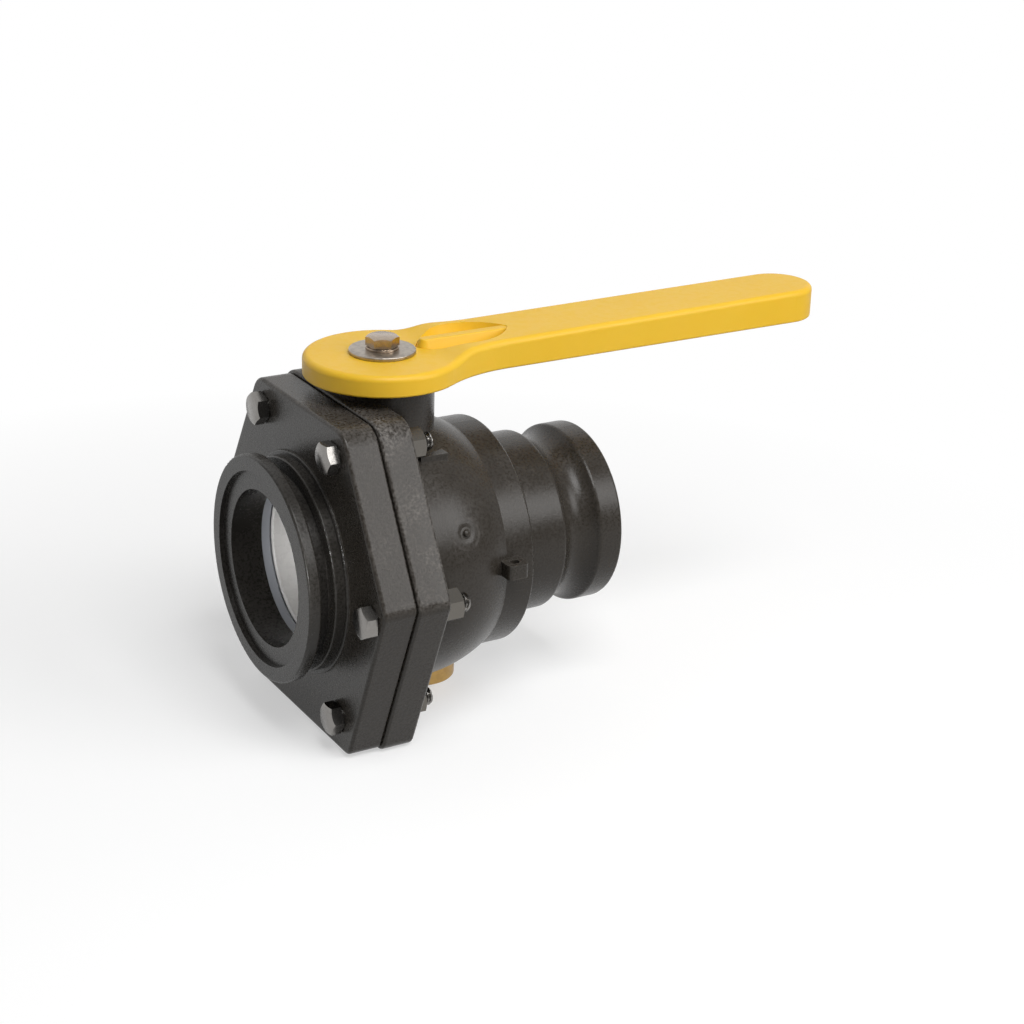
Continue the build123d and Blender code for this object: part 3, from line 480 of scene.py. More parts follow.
def turned_washer(finish):
    """Stamped washer steel with faint rings about the stem."""
    material, tree, shader = new_material("washer steel", Metallic=1.0)
    centred = {"Vector": own_place(tree), "Location": (-stem_x, 0.0, 0.0)}
    centre = put(tree, "ShaderNodeMapping", centred).outputs[0]
    waves = {"Vector": centre, "Scale": 700.0, "Distortion": 1.5, "Detail": 2.0}
    wave = put(tree, "ShaderNodeTexWave", waves, wave_type="RINGS", rings_direction="Z")
    rings = wave.outputs["Fac"]
    grain = use_group(tree, moulded_grain, grain_size=0.0003, mottle_size=0.002)
    dull = times(tree, grain["Mottle"], 0.5)
    colour = blended(tree, dull, finish.washer, finish.steel_stain)
    roughness = spread(tree, rings, 0.0, 1.0, 0.30, 0.44)
    surface(tree, shader, colour, roughness, rings, 0.06, 0.0001)
    return material


def smooth_plastic(name, colour, roughness_span):
    """Machined plastic with a faint cloud in its polish."""
    material, tree, shader = new_material(name)
    grain = use_group(tree, moulded_grain, grain_size=0.0006, mottle_size=0.003)
    shade = [0.88 * channel for channel in colour]
    clouded = blended(tree, times(tree, grain["Cloud"], 0.5), colour, shade)
    roughness = spread(tree, grain["Mottle"], 0.0, 1.0, *roughness_span)
    surface(tree, shader, clouded, roughness, grain["Height"], 0.03, 0.0001)
    return material


def seal_rubber(finish):
    """Matt seal rubber with a light bloom."""
    material, tree, shader = new_material("seal rubber", Specular_Ior_Level=0.3)
    grain = use_group(tree, moulded_grain, grain_size=0.0003, mottle_size=0.0012)
    dusty = times(tree, grain["Mottle"], 0.2)
    colour = blended(tree, dusty, finish.rubber, finish.bloom)
    roughness = spread(tree, grain["Mottle"], 0.0, 1.0, 0.65, 0.8)
    surface(tree, shader, colour, roughness, grain["Height"], 0.1, 0.0001)
    return material


def dress(material, *nodes):
    """Gives a material to CAD nodes, which keep their shape."""
    for name in nodes:
        mesh = frame["nodes"][name].data
        mesh.materials.clear()
        mesh.materials.append(material)


def new_piece(name, mesh, body, slot, *nodes):
    """Links a mesh, smooth with its sharp edges kept, as a piece on a body; it may stand for CAD nodes."""
    mesh.shade_smooth()
    mesh.set_sharp_from_angle(angle=math.radians(SHARP_DEG))
    piece = bpy.data.objects.new(name, mesh)
    bpy.context.scene.collection.objects.link(piece)
    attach(piece, body)
    if nodes:
        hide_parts(*nodes)


def mesh_of(name, shape):
    """The mesh of a finished bmesh, which is freed."""
    mesh = bpy.data.meshes.new(name)
    shape.to_mesh(mesh)
    shape.free()
    return mesh


def evaluated_mesh(name, tree, values, start):
    """The plain mesh that a geometry tree makes of a starting mesh with these values."""
    carrier = bpy.data.objects.new(name, start)
    bpy.context.scene.collection.objects.link(carrier)
    modifier = carrier.modifiers.new(tree.name, "NODES")
    modifier.node_group = tree
    for item in tree.interface.items_tree:
        if item.item_type == "SOCKET" and item.name in values:
            modifier[item.identifier] = values[item.name]
    evaluated = carrier.evaluated_get(bpy.context.evaluated_depsgraph_get())
    mesh = bpy.data.meshes.new_from_object(evaluated)
    mesh.name = name
    bpy.data.objects.remove(carrier)
    return mesh


def grown(name, tree, values, places):
    """The plain mesh that a geometry tree makes with these values at (x, y, turn) places."""
    points = bpy.data.meshes.new(name)
    points.from_pydata([(x, y, 0.0) for x, y, turn in places], [], [])
    turns = points.attributes.new("turn", "FLOAT", "POINT")
    turns.data.foreach_set("value", [turn for x, y, turn in places])
    return evaluated_mesh(name, tree, values, points)


def shifted(tree, geometry, height, rotation=(0.0, 0.0, 0.0)):
    """Geometry turned and then raised by a height."""
    rise = put(tree, "ShaderNodeCombineXYZ", {2: height}).outputs[0]
    moved = {"Geometry": geometry, "Translation": rise, "Rotation": rotation}
    return put(tree, "GeometryNodeTransform", moved).outputs[0]


def joined(tree, operation, meshes, cut_from=None):
    """Meshes united, intersected or cut from another."""
    node = put(tree, "GeometryNodeMeshBoolean", operation=operation, solver="EXACT")
    if cut_from is not None:
        tree.links.new(cut_from, node.inputs["Mesh 1"])
    for mesh in meshes:
        tree.links.new(mesh, node.inputs["Mesh 2"])
    return node.outputs["Mesh"]


def cylinder(tree, sides, radius, depth, rows=1):
    """A closed cylinder about Z, centred on the origin."""
    sizes = {"Vertices": sides, "Side Segments": rows, "Radius": radius, "Depth": depth}
    return put(tree, "GeometryNodeMeshCylinder", sizes).outputs["Mesh"]


def cone(tree, sides, top, bottom, depth):
    """A closed cone that stands on the origin, with the radius of its top and of its base."""
    sizes = {"Vertices": sides, "Radius Top": top, "Radius Bottom": bottom, "Depth": depth}
    return put(tree, "GeometryNodeMeshCone", sizes).outputs["Mesh"]


def hexagon(tree, across_flats, height, face_share, both_ends):
    """A hexagonal prism on its base plane, with corners turned off to a round face."""
    corner = maths(tree, "DIVIDE", across_flats, math.sqrt(3))
    double = times(tree, height, 2.0)
    tall, centre = (3.0, 0.5) if both_ends else (2.0, 1.0)
    prism = cylinder(tree, 6, corner, times(tree, height, tall))
    face = times(tree, maths(tree, "DIVIDE", across_flats, 2.0), face_share)
    wide = maths(tree, "ADD", face, times(tree, double, math.sqrt(3)))
    turning = cone(tree, FACE_SIDES, face, wide, double)
    below = times(tree, height, -1.0)
    meshes = [shifted(tree, prism, times(tree, height, centre)), shifted(tree, turning, below)]
    if both_ends:
        meshes.append(shifted(tree, turning, double, (math.pi, 0.0, 0.0)))
    return joined(tree, "INTERSECT", meshes)


def end_tree(tree, given, result, geometry):
    """Ends a geometry tree: makes its instances real and gives all its material."""
    solid = put(tree, "GeometryNodeRealizeInstances", {"Geometry": geometry}).outputs[0]
    painted = put(tree, "GeometryNodeSetMaterial", {"Geometry": solid, "Material": given["Material"]})
    tree.links.new(painted.outputs[0], result.inputs["Geometry"])


def set_at_places(tree, given, result, geometry):
    """Sets a fastener at each place with its own turn, stands all up and gives them their material."""
    weld = {"Geometry": geometry, "Distance": WELD_DISTANCE}
    closed = put(tree, "GeometryNodeMergeByDistance", weld).outputs[0]
    turn = put(tree, "GeometryNodeInputNamedAttribute", {"Name": "turn"}, data_type="FLOAT").outputs[0]
    own_turn = put(tree, "ShaderNodeCombineXYZ", {2: turn}).outputs[0]
    copied = {"Points": given["Places"], "Instance": closed, "Rotation": own_turn}
    copies = put(tree, "GeometryNodeInstanceOnPoints", copied).outputs[0]
    moved = {"Geometry": copies, "Translation": given["Seat"], "Rotation": given["Turn"]}
    stood = put(tree, "GeometryNodeTransform", moved).outputs[0]
    end_tree(tree, given, result, stood)


FASTENER_INPUTS = [
    ("Places", "NodeSocketGeometry", None),
    ("Seat", "NodeSocketVector", (0.0, 0.0, 0.0)),
    ("Turn", "NodeSocketVector", (0.0, 0.0, 0.0)),
    ("Material", "NodeSocketMaterial", None),
    ("Across Flats", FLOAT, 0.0111),
    ("Height", FLOAT, 0.004),
    ("Face Share", FLOAT, 0.95),
]


def hex_bolt_tree():
    """Hexagon bolts: turned head, washer face and a shank whose end is threaded."""
    tree, given, result = new_tree(
        "Hex bolts",
        "GeometryNodeTree",
        FASTENER_INPUTS
        + [
            ("Washer Face", FLOAT, 0.0003),
            ("Shank Radius", FLOAT, 0.003),
            ("Shank Length", FLOAT, 0.03),
            ("Thread Length", FLOAT, 0.012),
            ("Pitch", FLOAT, 0.00127),
            ("Thread Depth", FLOAT, 0.0006),
        ],
        [("Geometry", "NodeSocketGeometry")],
    )
    face = given["Washer Face"]
    head_height = maths(tree, "SUBTRACT", given["Height"], face)
    head = hexagon(tree, given["Across Flats"], head_height, given["Face Share"], both_ends=False)
    face_radius = times(tree, given["Across Flats"], WASHER_FACE_SHARE)
    washer = cylinder(tree, FACE_SIDES, face_radius, times(tree, face, 2.0))
    # Shank as a tall cylinder, reaching a little into the head, whose end rows are drawn into a thread
    overlap = maths(tree, "DIVIDE", face, 2.0)
    depth = maths(tree, "ADD", given["Shank Length"], overlap)
    turns = maths(tree, "DIVIDE", depth, given["Pitch"])
    rows = maths(tree, "CEIL", times(tree, turns, PITCH_ROWS))
    shank = cylinder(tree, SHANK_SIDES, given["Shank Radius"], depth, rows)
    sunk = shifted(tree, shank, maths(tree, "SUBTRACT", overlap, maths(tree, "DIVIDE", depth, 2.0)))
    point = put(tree, "GeometryNodeInputPosition").outputs[0]
    spot = put(tree, "ShaderNodeSeparateXYZ", {0: point}).outputs
    around = maths(tree, "DIVIDE", maths(tree, "ARCTAN2", spot[1], spot[0]), math.tau)
    wound = maths(tree, "FRACT", maths(tree, "ADD", maths(tree, "DIVIDE", spot[2], given["Pitch"]), around))
    valley = maths(tree, "ABSOLUTE", maths(tree, "SUBTRACT", times(tree, wound, 2.0), 1.0))
    cut = times(tree, spread(tree, valley, 0.12, 0.95), given["Thread Depth"])
    from_end = maths(tree, "ADD", spot[2], given["Shank Length"])
    fading = maths(tree, "SUBTRACT", given["Thread Length"], given["Pitch"])
    begun = spread(tree, from_end, fading, given["Thread Length"], 1.0, 0.0)
    threaded = maths(tree, "SUBTRACT", given["Shank Radius"], times(tree, cut, begun))
    core = maths(tree, "SUBTRACT", given["Shank Radius"], given["Thread Depth"])
    radius = maths(tree, "MINIMUM", threaded, maths(tree, "ADD", core, from_end))
    share = maths(tree, "DIVIDE", radius, given["Shank Radius"])
    drawn_in = [times(tree, spot[axis], share) for axis in (0, 1)]
    narrowed = put(tree, "ShaderNodeCombineXYZ", {0: drawn_in[0], 1: drawn_in[1], 2: spot[2]}).outputs[0]
    thread = put(tree, "GeometryNodeSetPosition", {"Geometry": sunk, "Position": narrowed}).outputs[0]
    whole = joined(tree, "UNION", [shifted(tree, head, face), shifted(tree, washer, face), thread])
    set_at_places(tree, given, result, whole)
    return tree


def hex_nut_tree():
    """Hexagon nuts, turned at both ends, with a countersunk hole."""
    tree, given, result = new_tree(
        "Hex nuts",
        "GeometryNodeTree",
        FASTENER_INPUTS + [("Bore", FLOAT, 0.0032)],
        [("Geometry", "NodeSocketGeometry")],
    )
    height = given["Height"]
    solid = hexagon(tree, given["Across Flats"], height, given["Face Share"], both_ends=True)
    drill = cylinder(tree, HOLE_SIDES, given["Bore"], times(tree, height, 2.0))
    mouth = times(tree, given["Bore"], COUNTERSINK_SHARE)
    wide = times(tree, mouth, 2.0)
    sink = cone(tree, HOLE_SIDES, wide, 0.0, wide)
    cutters = [
        shifted(tree, drill, maths(tree, "DIVIDE", height, 2.0)),
        shifted(tree, sink, maths(tree, "SUBTRACT", height, mouth)),
    ]
    set_at_places(tree, given, result, joined(tree, "DIFFERENCE", cutters, cut_from=solid))
    return tree


def ring_mesh(name, section, turn_start, turn_span, steps):
    """Sweeps a closed section of (radius, height) points about the stem; a part turn gets end faces."""
    closed = abs(turn_span - math.tau) < 1e-9
    shape = bmesh.new()
    rows = []
    for step in range(steps if closed else steps + 1):
        turn = turn_start + turn_span * step / steps
        rows.append(
            [
                shape.verts.new((stem_x + radius * math.cos(turn), radius * math.sin(turn), height))
                for radius, height in section
            ]
        )
    count = len(section)
    following = rows[1:] + rows[:1] if closed else rows[1:]
    for row, after in zip(rows, following):
        for k in range(count):
            shape.faces.new((row[k], row[(k + 1) % count], after[(k + 1) % count], after[k]))
    if not closed:
        shape.faces.new(rows[0])
        shape.faces.new(rows[-1])
    bmesh.ops.recalc_face_normals(shape, faces=shape.faces)
    return mesh_of(name, shape)


def rolled_section(inner, outer, low, high, edge, steps=4):
    """A washer's section with rolled edges: the corners of a rectangle turned as arcs."""
    corners = [
        (outer - edge, low + edge, -90.0),
        (outer - edge, high - edge, 0.0),
        (inner + edge, high - edge, 90.0),
        (inner + edge, low + edge, 180.0),
    ]
    return [
        (
            radius + edge * math.cos(math.radians(start + 90.0 * k / steps)),
            height + edge * math.sin(math.radians(start + 90.0 * k / steps)),
        )
        for radius, height, start in corners
        for k in range(steps + 1)
    ]


def gate_place(form):
    """The chamber's centre and the direction of the moulding gate from it."""
    level = math.cos(form.gate_rise)
    along, across = math.sin(form.gate_turn) * level, -math.cos(form.gate_turn) * level
    centre = Vector((stem_x + form.chamber_offset, 0.0, 0.0))
    return centre, Vector((along, across, math.sin(form.gate_rise)))


def flange_edge_mesh(form):
    """The near upper edge of the body's flange, where the round hollow about the gate meets it."""
    top = Vector((0.0, -form.top_corner, -cad_low.z))
    side = Vector((0.0, -form.side_corner, form.side_rise))
    foot = Vector((0.0, -form.foot_corner, cad_low.z))
    up, down = (top - side).normalized(), (foot - side).normalized()
    half = up.angle(down) / 2
    inward = (up + down).normalized()
    centre = side + inward * (form.corner_round / math.sin(half))
    turn = math.pi / 2 - half
    sideways = (up - down).normalized()
    rim = [side + down * EDGE_BELOW]
    for step in range(CORNER_STEPS + 1):
        swing = turn * (2 * step / CORNER_STEPS - 1)
        rim.append(centre - form.corner_round * (inward * math.cos(swing) - sideways * math.sin(swing)))
    rim.append(side + up * EDGE_ABOVE)
    into_up = Vector((0.0, up.z, -up.y))
    into_down = Vector((0.0, -down.z, down.y))
    inner = [side + up * EDGE_ABOVE + into_up * EDGE_DEPTH]
    inner += [side + up * along + into_up * depth for along, depth in HOLE_PASS]
    inner.append(side + down * EDGE_BELOW + into_down * FOOT_DEPTH)
    back, front = nuts_low.x, nuts_low.x - EDGE_LENGTH
    shape = bmesh.new()
    loops = [[shape.verts.new((x, point.y, point.z)) for point in rim + inner] for x in (front, back)]
    shape.faces.new(loops[0])
    shape.faces.new(loops[1])
    for k in range(len(loops[0])):
        after = (k + 1) % len(loops[0])
        shape.faces.new((loops[0][k], loops[0][after], loops[1][after], loops[1][k]))
    bmesh.ops.recalc_face_normals(shape, faces=shape.faces)
    backs = set(loops[1][: len(rim)])
    edges = [edge for edge in shape.edges if set(edge.verts) <= backs and len(edge.link_faces) == 2]
    bmesh.ops.bevel(
        shape, geom=edges, offset=form.back_round, segments=BACK_SEGMENTS, profile=0.5, affect="EDGES"
    )
    bmesh.ops.triangulate(shape, faces=shape.faces)
    return mesh_of("flange_near_edge", shape)


def hollow_tree():
    """Keeps the part of a mesh that lies in a round hollow."""
    tree, given, result = new_tree(
        "Round hollow",
        "GeometryNodeTree",
        [
            ("Mesh", "NodeSocketGeometry", None),
            ("Centre", "NodeSocketVector", (0.0, 0.0, 0.0)),
            ("Radius", FLOAT, 0.045),
            ("Material", "NodeSocketMaterial", None),
        ],
        [("Geometry", "NodeSocketGeometry")],
    )
    round_form = {"Segments": 256, "Rings": 128, "Radius": given["Radius"]}
    ball = put(tree, "GeometryNodeMeshUVSphere", round_form).outputs["Mesh"]
    placed = {"Geometry": ball, "Translation": given["Centre"]}
    moved = put(tree, "GeometryNodeTransform", placed).outputs[0]
    end_tree(tree, given, result, joined(tree, "INTERSECT", [given["Mesh"], moved]))
    return tree


def gate_mark_mesh(form):
    """The nub that the moulding gate leaves, in a small crater that runs out into the chamber's round."""
    centre, towards = gate_place(form)
    across = towards.orthogonal().normalized()
    around = towards.cross(across)
    curve = 0.5 / form.chamber_radius + 0.5 / form.hollow_radius
    top = [(radius / 1000, height / 1000) for radius, height in GATE_PROFILE]
    floor = [
        (share * form.gate_reach, curve * (share * form.gate_reach) ** 2 - form.hollow_depth)
        for share in (1.0, 0.75, 0.5, 0.25, 0.0)
    ]
    shape = bmesh.new()
    rows = []
    for radius, height in top + floor:
        spots = []
        for step in range(GATE_STEPS if radius else 1):
            turn = math.tau * step / GATE_STEPS
            lean = radius / form.chamber_radius
            heading = across * math.cos(turn) + around * math.sin(turn)
            out = towards * math.cos(lean) + heading * math.sin(lean)
            spots.append(shape.verts.new(centre + out * (form.chamber_radius + height)))
        rows.append(spots)
    for row, after in zip(rows, rows[1:]):
        for k in range(GATE_STEPS):
            near = [row[k % len(row)], row[(k + 1) % len(row)]]
            far = [after[(k + 1) % len(after)], after[k % len(after)]]
            shape.faces.new(list(dict.fromkeys(near + far)))
    bmesh.ops.recalc_face_normals(shape, faces=shape.faces)
    return mesh_of("gate_mark", shape)


class VALVE_OT_dress_housing(Operator):
    """Gives the body, the cover and the stem their moulded black plastic"""

    bl_idname = "valve.dress_housing"
    bl_label = "Housing"

    def execute(self, context):
        dress(black_plastic(context.scene.valve_finish), "valve_body", "inlet_cover", "stem")
        return {"FINISHED"}


class VALVE_OT_finish_body(Operator):
    """Makes the flange's near edge and the moulding gate's mark on the body"""

    bl_idname = "valve.finish_body"
    bl_label = "Flange edge and gate mark"

    def execute(self, context):
        form = context.scene.valve_body_form
        plastic = frame["nodes"]["valve_body"].data.materials[0]
        centre, towards = gate_place(form)
        away = form.chamber_radius + form.hollow_radius - form.hollow_depth
        tree = hollow_tree()
        values = {"Centre": centre + towards * away, "Radius": form.hollow_radius, "Material": plastic}
        edge = evaluated_mesh("flange_near_edge", tree, values, flange_edge_mesh(form))
        gate = gate_mark_mesh(form)
        gate.materials.append(plastic)
        new_piece("flange_near_edge", edge, HOUSING, "black_plastic")
        new_piece("gate_mark", gate, HOUSING, "black_plastic")
        return {"FINISHED"}


class VALVE_OT_dress_handle(Operator):
    """Gives the lever handle its moulded yellow plastic"""

    bl_idname = "valve.dress_handle"
    bl_label = "Handle"

    def execute(self, context):
        dress(yellow_plastic(context.scene.valve_finish), "handle")
        return {"FINISHED"}


class VALVE_OT_dress_ball(Operator):
    """Gives the ball, the seats and the thrust washer their smooth plastics"""

    bl_idname = "valve.dress_ball"
    bl_label = "Ball and seats"

    def execute(self, context):
        finish = context.scene.valve_finish
        dress(smooth_plastic("turned ball", finish.ball, (0.26, 0.34)), "ball")
        seat = smooth_plastic("seat plastic", finish.seat, (0.34, 0.42))
        dress(seat, "inlet_seat", "outlet_seat", "stem_thrust_washer")
        return {"FINISHED"}


class VALVE_OT_dress_seals(Operator):
    """Gives the sealing rings their rubber"""

    bl_idname = "valve.dress_seals"
    bl_label = "Seals"

    def execute(self, context):
        rings = [name for name in frame["nodes"] if name.endswith("o_ring")]
        dress(seal_rubber(context.scene.valve_finish), *rings)
        return {"FINISHED"}


class VALVE_OT_dress_drain_plug(Operator):
    """Gives the drain plug its dull brass"""

    bl_idname = "valve.dress_drain_plug"
    bl_label = "Drain plug"

    def execute(self, context):
        finish = context.scene.valve_finish
        brass = stained_metal("dull brass", finish.brass, finish.brass_stain, (0.34, 0.55), 0.003, 0.6)
        dress(brass, "drain_plug")
        return {"FINISHED"}


def fastener_steel(name, colour, finish):
    """The dull steel of a kind of hexagon fastener."""
    return stained_metal(name, colour, finish.steel_stain, (0.24, 0.38), 0.0012, 0.25)


def bolt_values(sizes, head, length, threaded):
    """The bolt tree's sizes for a height of head, a length of shank and a length of thread."""
    return {
        "Across Flats": sizes.across_flats,
        "Face Share": sizes.face_share,
        "Height": head,
        "Washer Face": sizes.washer_face,
        "Shank Radius": sizes.shank_radius,
        "Shank Length": length,
        "Thread Length": threaded,
        "Pitch": sizes.pitch,
        "Thread Depth": sizes.thread_depth,
    }


def flange_places(sizes, turns, upward):
    """The bolts' places about the flow, (up, across, own turn), near side first."""
    radius = sizes.bolt_circle
    rises = (sizes.top_bolts, 0.0, -sizes.lower_bolts)
    spots = [
        (upward * radius * math.sin(rise), side * radius * math.cos(rise))
        for side in (-1, 1)
        for rise in rises
    ]
    return [(up, across, math.radians(turn)) for (up, across), turn in zip(spots, turns)]


class VALVE_OT_make_flange_fasteners(Operator):
    """Makes the bolts through both flanges and their nuts"""

    bl_idname = "valve.make_flange_fasteners"
    bl_label = "Flange bolts and nuts"

    def execute(self, context):
        finish, sizes = context.scene.valve_finish, context.scene.valve_fasteners
        head_seat = bolts_low.x + sizes.flange_head
        threaded = bolts_high.x - nuts_low.x + sizes.pitch
        values = {
            "Material": fastener_steel("bolt steel", finish.steel, finish),
            "Turn": (0.0, -math.pi / 2, 0.0),
            "Seat": (head_seat, 0.0, 0.0),
            **bolt_values(sizes, sizes.flange_head, bolts_high.x - head_seat, threaded),
        }
        places = flange_places(sizes, HEAD_TURNS, 1)
        bolts = grown("flange_hex_bolts", hex_bolt_tree(), values, places)
        new_piece("flange_hex_bolts", bolts, HOUSING, "stainless", "flange_bolts")
        # The nuts' darker steel is painted shade
        values = {
            "Material": fastener_steel("nut steel", finish.nut, finish),
            "Turn": (0.0, math.pi / 2, 0.0),
            "Seat": (nuts_low.x, 0.0, 0.0),
            "Across Flats": sizes.across_flats,
            "Face Share": sizes.face_share,
            "Height": nuts_high.x - nuts_low.x,
            "Bore": sizes.nut_bore,
        }
        places = flange_places(sizes, NUT_TURNS, -1)
        nuts = grown("flange_hex_nuts", hex_nut_tree(), values, places)
        new_piece("flange_hex_nuts", nuts, HOUSING, "stainless", "flange_nuts")
        return {"FINISHED"}


class VALVE_OT_make_handle_fasteners(Operator):
    """Makes the bolt, the split lock washer and the flat washer on the handle's hub"""

    bl_idname = "valve.make_handle_fasteners"
    bl_label = "Handle bolt and washers"

    def execute(self, context):
        finish, sizes = context.scene.valve_finish, context.scene.valve_fasteners
        # The bolt and the lock washer take the warm handle bolt colour: painted reflection of the yellow
        # handle
        steel = fastener_steel("handle bolt steel", finish.handle_bolt, finish)
        head_seat = handle_bolt_high.z - sizes.handle_head
        length = head_seat - handle_bolt_low.z
        values = {
            "Material": steel,
            "Turn": (0.0, 0.0, 0.0),
            "Seat": (stem_x, 0.0, head_seat),
            **bolt_values(sizes, sizes.handle_head, length, HANDLE_THREAD_SHARE * length),
        }
        places = [(0.0, 0.0, math.radians(HANDLE_BOLT_TURN))]
        bolt = grown("handle_hex_bolt", bpy.data.node_groups["Hex bolts"], values, places)
        new_piece("handle_hex_bolt", bolt, TURNING, "stainless", "handle_bolt")
        washer_radius = (washer_high.y - washer_low.y) / 2
        hole, edge = sizes.washer_hole, sizes.washer_edge
        section = rolled_section(hole, washer_radius, washer_low.z, washer_high.z, edge)
        washer = ring_mesh("hub_flat_washer", section, 0.0, math.tau, WASHER_STEPS)
        washer.materials.append(turned_washer(finish))
        new_piece("hub_flat_washer", washer, TURNING, "stainless", "handle_washer")
        lock_radius = (lock_high.x - lock_low.x) / 2
        section = rolled_section(hole, lock_radius, lock_low.z, lock_high.z, edge / 3)
        start, span = math.pi / 2 + sizes.lock_gap / 2, math.tau - sizes.lock_gap
        split = ring_mesh("hub_lock_washer", section, start, span, LOCK_STEPS)
        split.materials.append(steel)
        new_piece("hub_lock_washer", split, TURNING, "stainless", "handle_lock_washer")
        return {"FINISHED"}


def light_panel(name, watts, size, place, aim, spread_deg=180.0):
    """A soft square light that faces a point, with a grid in front where its spread is narrow."""
    lamp = bpy.data.lights.new(name, "AREA")
    lamp.energy = watts
    lamp.size = size
    lamp.spread = math.radians(spread_deg)
    panel = bpy.data.objects.new(name, lamp)
    panel.location = place
    panel.rotation_euler = (Vector(aim) - Vector(place)).to_track_quat("-Z", "Y").to_euler()
    bpy.context.scene.collection.objects.link(panel)


def seen_directly(tree):
    """1 for camera, mirror and glass rays, which see the white studio, and 0 for light."""
    rays = put(tree, "ShaderNodeLightPath").outputs
    seen = maths(tree, "MAXIMUM", rays["Is Camera Ray"], rays["Is Glossy Ray"])
    return maths(tree, "MAXIMUM", seen, rays["Is Transmission Ray"])


def studio_world(ambient, far_fill):
    """White where it is seen, and a plain level of light all round that grows towards the far side."""
    world = bpy.data.worlds.new("white studio")
    world.use_nodes = True
    tree = world.node_tree
    rays = put(tree, "ShaderNodeLightPath").outputs
    heading = put(tree, "ShaderNodeTexCoord").outputs["Generated"]
    depth = put(tree, "ShaderNodeSeparateXYZ", {0: heading}).outputs[1]
    behind = spread(tree, depth, -0.35, 0.5, 0.2, 1.0)
    mirrored = times(tree, seen_directly(tree), behind)
    shown = maths(tree, "MAXIMUM", mirrored, rays["Is Camera Ray"])
    strength = maths(tree, "MAXIMUM", shown, spread(tree, depth, 0.0, 0.9, ambient, far_fill))
    shade = tree.nodes["Background"]
    shade.inputs["Color"].default_value = (1.0, 1.0, 1.0, 1.0)
    tree.links.new(strength, shade.inputs["Strength"])
    bpy.context.scene.world = world


def studio_floor(colour, height, near, far):
    """A pale disc that keeps the shadow near the valve and fades to white away from it."""
    shape = bmesh.new()
    bmesh.ops.create_circle(shape, cap_ends=True, radius=far * 2, segments=96)
    mesh = mesh_of("studio_floor", shape)
    mesh.transform(Matrix.Translation((0.0, 0.0, height)))
    floor = bpy.data.objects.new("studio_floor", mesh)
    bpy.context.scene.collection.objects.link(floor)
    material = bpy.data.materials.new("pale floor")
    material.use_nodes = True
    tree = material.node_tree
    tree.nodes.remove(tree.nodes["Principled BSDF"])
    ends = {0: own_place(tree), 1: (stem_x, 0.0, height)}
    reach = put(tree, "ShaderNodeVectorMath", ends, operation="DISTANCE").outputs["Value"]
    fade = times(tree, spread(tree, reach, near, far), seen_directly(tree))
    matt = put(tree, "ShaderNodeBsdfDiffuse", {"Color": (*colour, 1.0)}).outputs[0]
    lift = times(tree, seen_directly(tree), 1.0 - colour[0])
    glow = put(tree, "ShaderNodeEmission", {"Strength": lift}).outputs[0]
    lifted = put(tree, "ShaderNodeAddShader", {0: matt, 1: glow}).outputs[0]
    white = put(tree, "ShaderNodeEmission", {"Strength": 1.0}).outputs[0]
    shown = put(tree, "ShaderNodeMixShader", {0: fade, 1: lifted, 2: white}).outputs[0]
    tree.links.new(shown, tree.nodes["Material Output"].inputs["Surface"])
    mesh.materials.append(material)


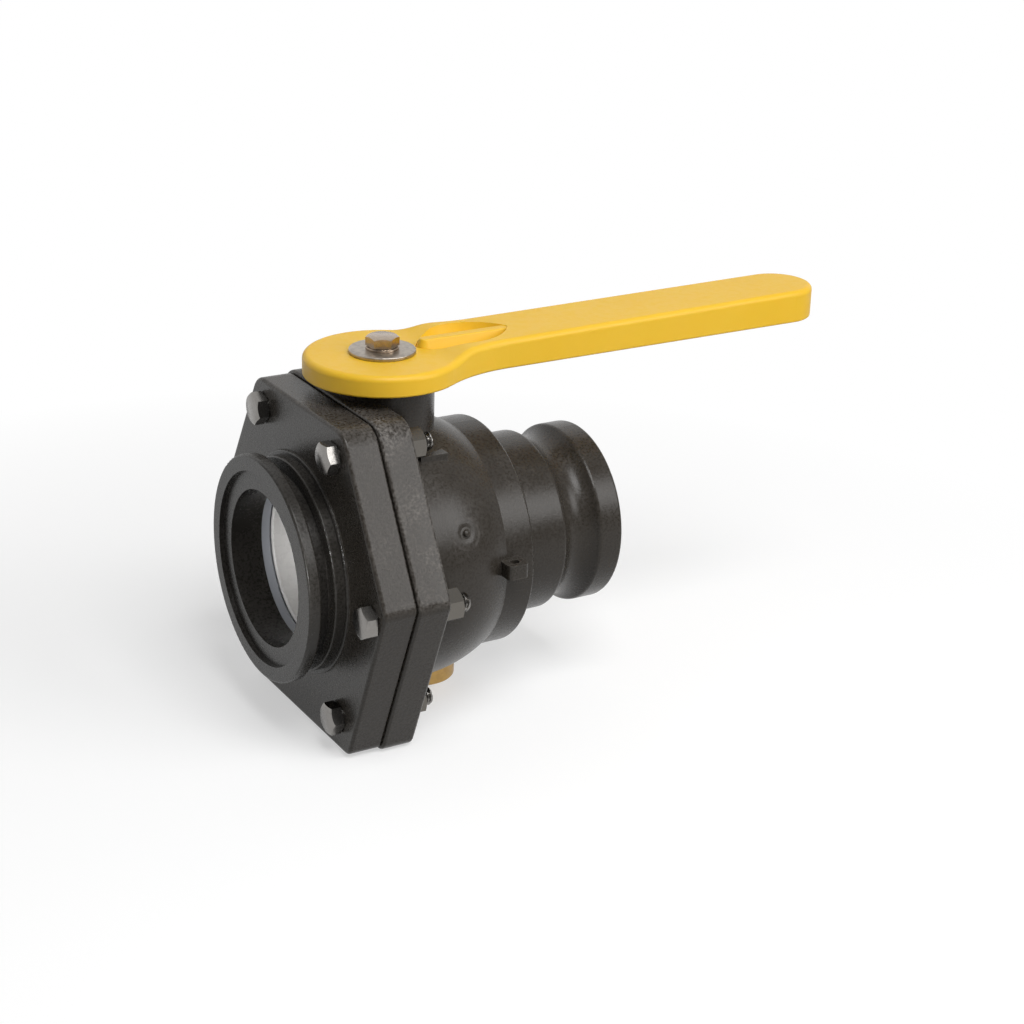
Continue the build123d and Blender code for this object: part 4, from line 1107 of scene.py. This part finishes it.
class VALVE_OT_set_stage(Operator):
    """Sets the camera, the lights and the pale floor"""

    bl_idname = "valve.set_stage"
    bl_label = "Stage"

    def execute(self, context):
        stage = context.scene.valve_stage
        turn, rise = stage.azimuth, stage.elevation
        back = Vector((math.sin(turn) * math.cos(rise), -math.cos(turn) * math.cos(rise), math.sin(rise)))
        level = Vector((math.cos(turn), math.sin(turn), 0.0))
        upright = back.cross(level)
        right = level * math.cos(stage.roll) + upright * math.sin(stage.roll)
        up = upright * math.cos(stage.roll) - level * math.sin(stage.roll)
        lens = bpy.data.cameras.new("camera")
        lens.lens = stage.focal
        lens.sensor_width = 36.0
        lens.clip_start = 0.01
        camera = bpy.data.objects.new("camera", lens)
        turned = Matrix((right, up, back)).transposed().to_4x4()
        camera.matrix_world = Matrix.Translation(Vector(stage.target) + back * stage.distance) @ turned
        context.scene.collection.objects.link(camera)
        context.scene.camera = camera
        context.scene.view_settings.view_transform = "Standard"
        middle = (cad_low + cad_high) / 2
        light_panel("key panel", stage.key_light, PANEL_SIZE, middle + KEY_PLACE, middle)
        light_panel("side panel", stage.side_light, PANEL_SIZE, middle + SIDE_PLACE, middle)
        wall = Vector((stem_x, 0.0, 0.0)) + BALL_WALL
        place = wall + BORE_PLACE
        light_panel("bore panel", stage.bore_light, BORE_PANEL_SIZE, place, wall, BORE_SPREAD_DEG)
        studio_world(stage.ambient, stage.far_fill)
        studio_floor(stage.floor, cad_low.z - FLOOR_GAP, FLOOR_NEAR, FLOOR_FAR)
        return {"FINISHED"}


class VALVE_PT_panel(Panel):
    """Lists the valve's sizes, colours and steps"""

    bl_idname = "VALVE_PT_panel"
    bl_label = "Bolted ball valve"
    bl_space_type = "VIEW_3D"
    bl_region_type = "UI"
    bl_category = "Valve"

    def draw(self, context):
        for operator in OPERATORS:
            self.layout.operator(operator.bl_idname)
        for group_name, group in GROUPS.items():
            box = self.layout.box()
            for name in group.__annotations__:
                box.prop(getattr(context.scene, group_name), name)


GROUPS = {
    "valve_finish": ValveFinish,
    "valve_fasteners": ValveFasteners,
    "valve_body_form": ValveBodyForm,
    "valve_stage": ValveStage,
}
OPERATORS = (
    VALVE_OT_dress_housing,
    VALVE_OT_finish_body,
    VALVE_OT_dress_handle,
    VALVE_OT_dress_ball,
    VALVE_OT_dress_seals,
    VALVE_OT_dress_drain_plug,
    VALVE_OT_make_flange_fasteners,
    VALVE_OT_make_handle_fasteners,
    VALVE_OT_set_stage,
)
CLASSES = (*GROUPS.values(), *OPERATORS, VALVE_PT_panel)


def register():
    for cls in CLASSES:
        bpy.utils.register_class(cls)
    for name, group in GROUPS.items():
        setattr(bpy.types.Scene, name, PointerProperty(type=group))


def unregister():
    for name in GROUPS:
        delattr(bpy.types.Scene, name)
    for cls in reversed(CLASSES):
        bpy.utils.unregister_class(cls)


def main():
    register()
    bpy.ops.valve.dress_housing()
    bpy.ops.valve.finish_body()
    bpy.ops.valve.dress_handle()
    bpy.ops.valve.dress_ball()
    bpy.ops.valve.dress_seals()
    bpy.ops.valve.dress_drain_plug()
    bpy.ops.valve.make_flange_fasteners()
    bpy.ops.valve.make_handle_fasteners()
    bpy.ops.valve.set_stage()


if __name__ == "__main__":
    main()
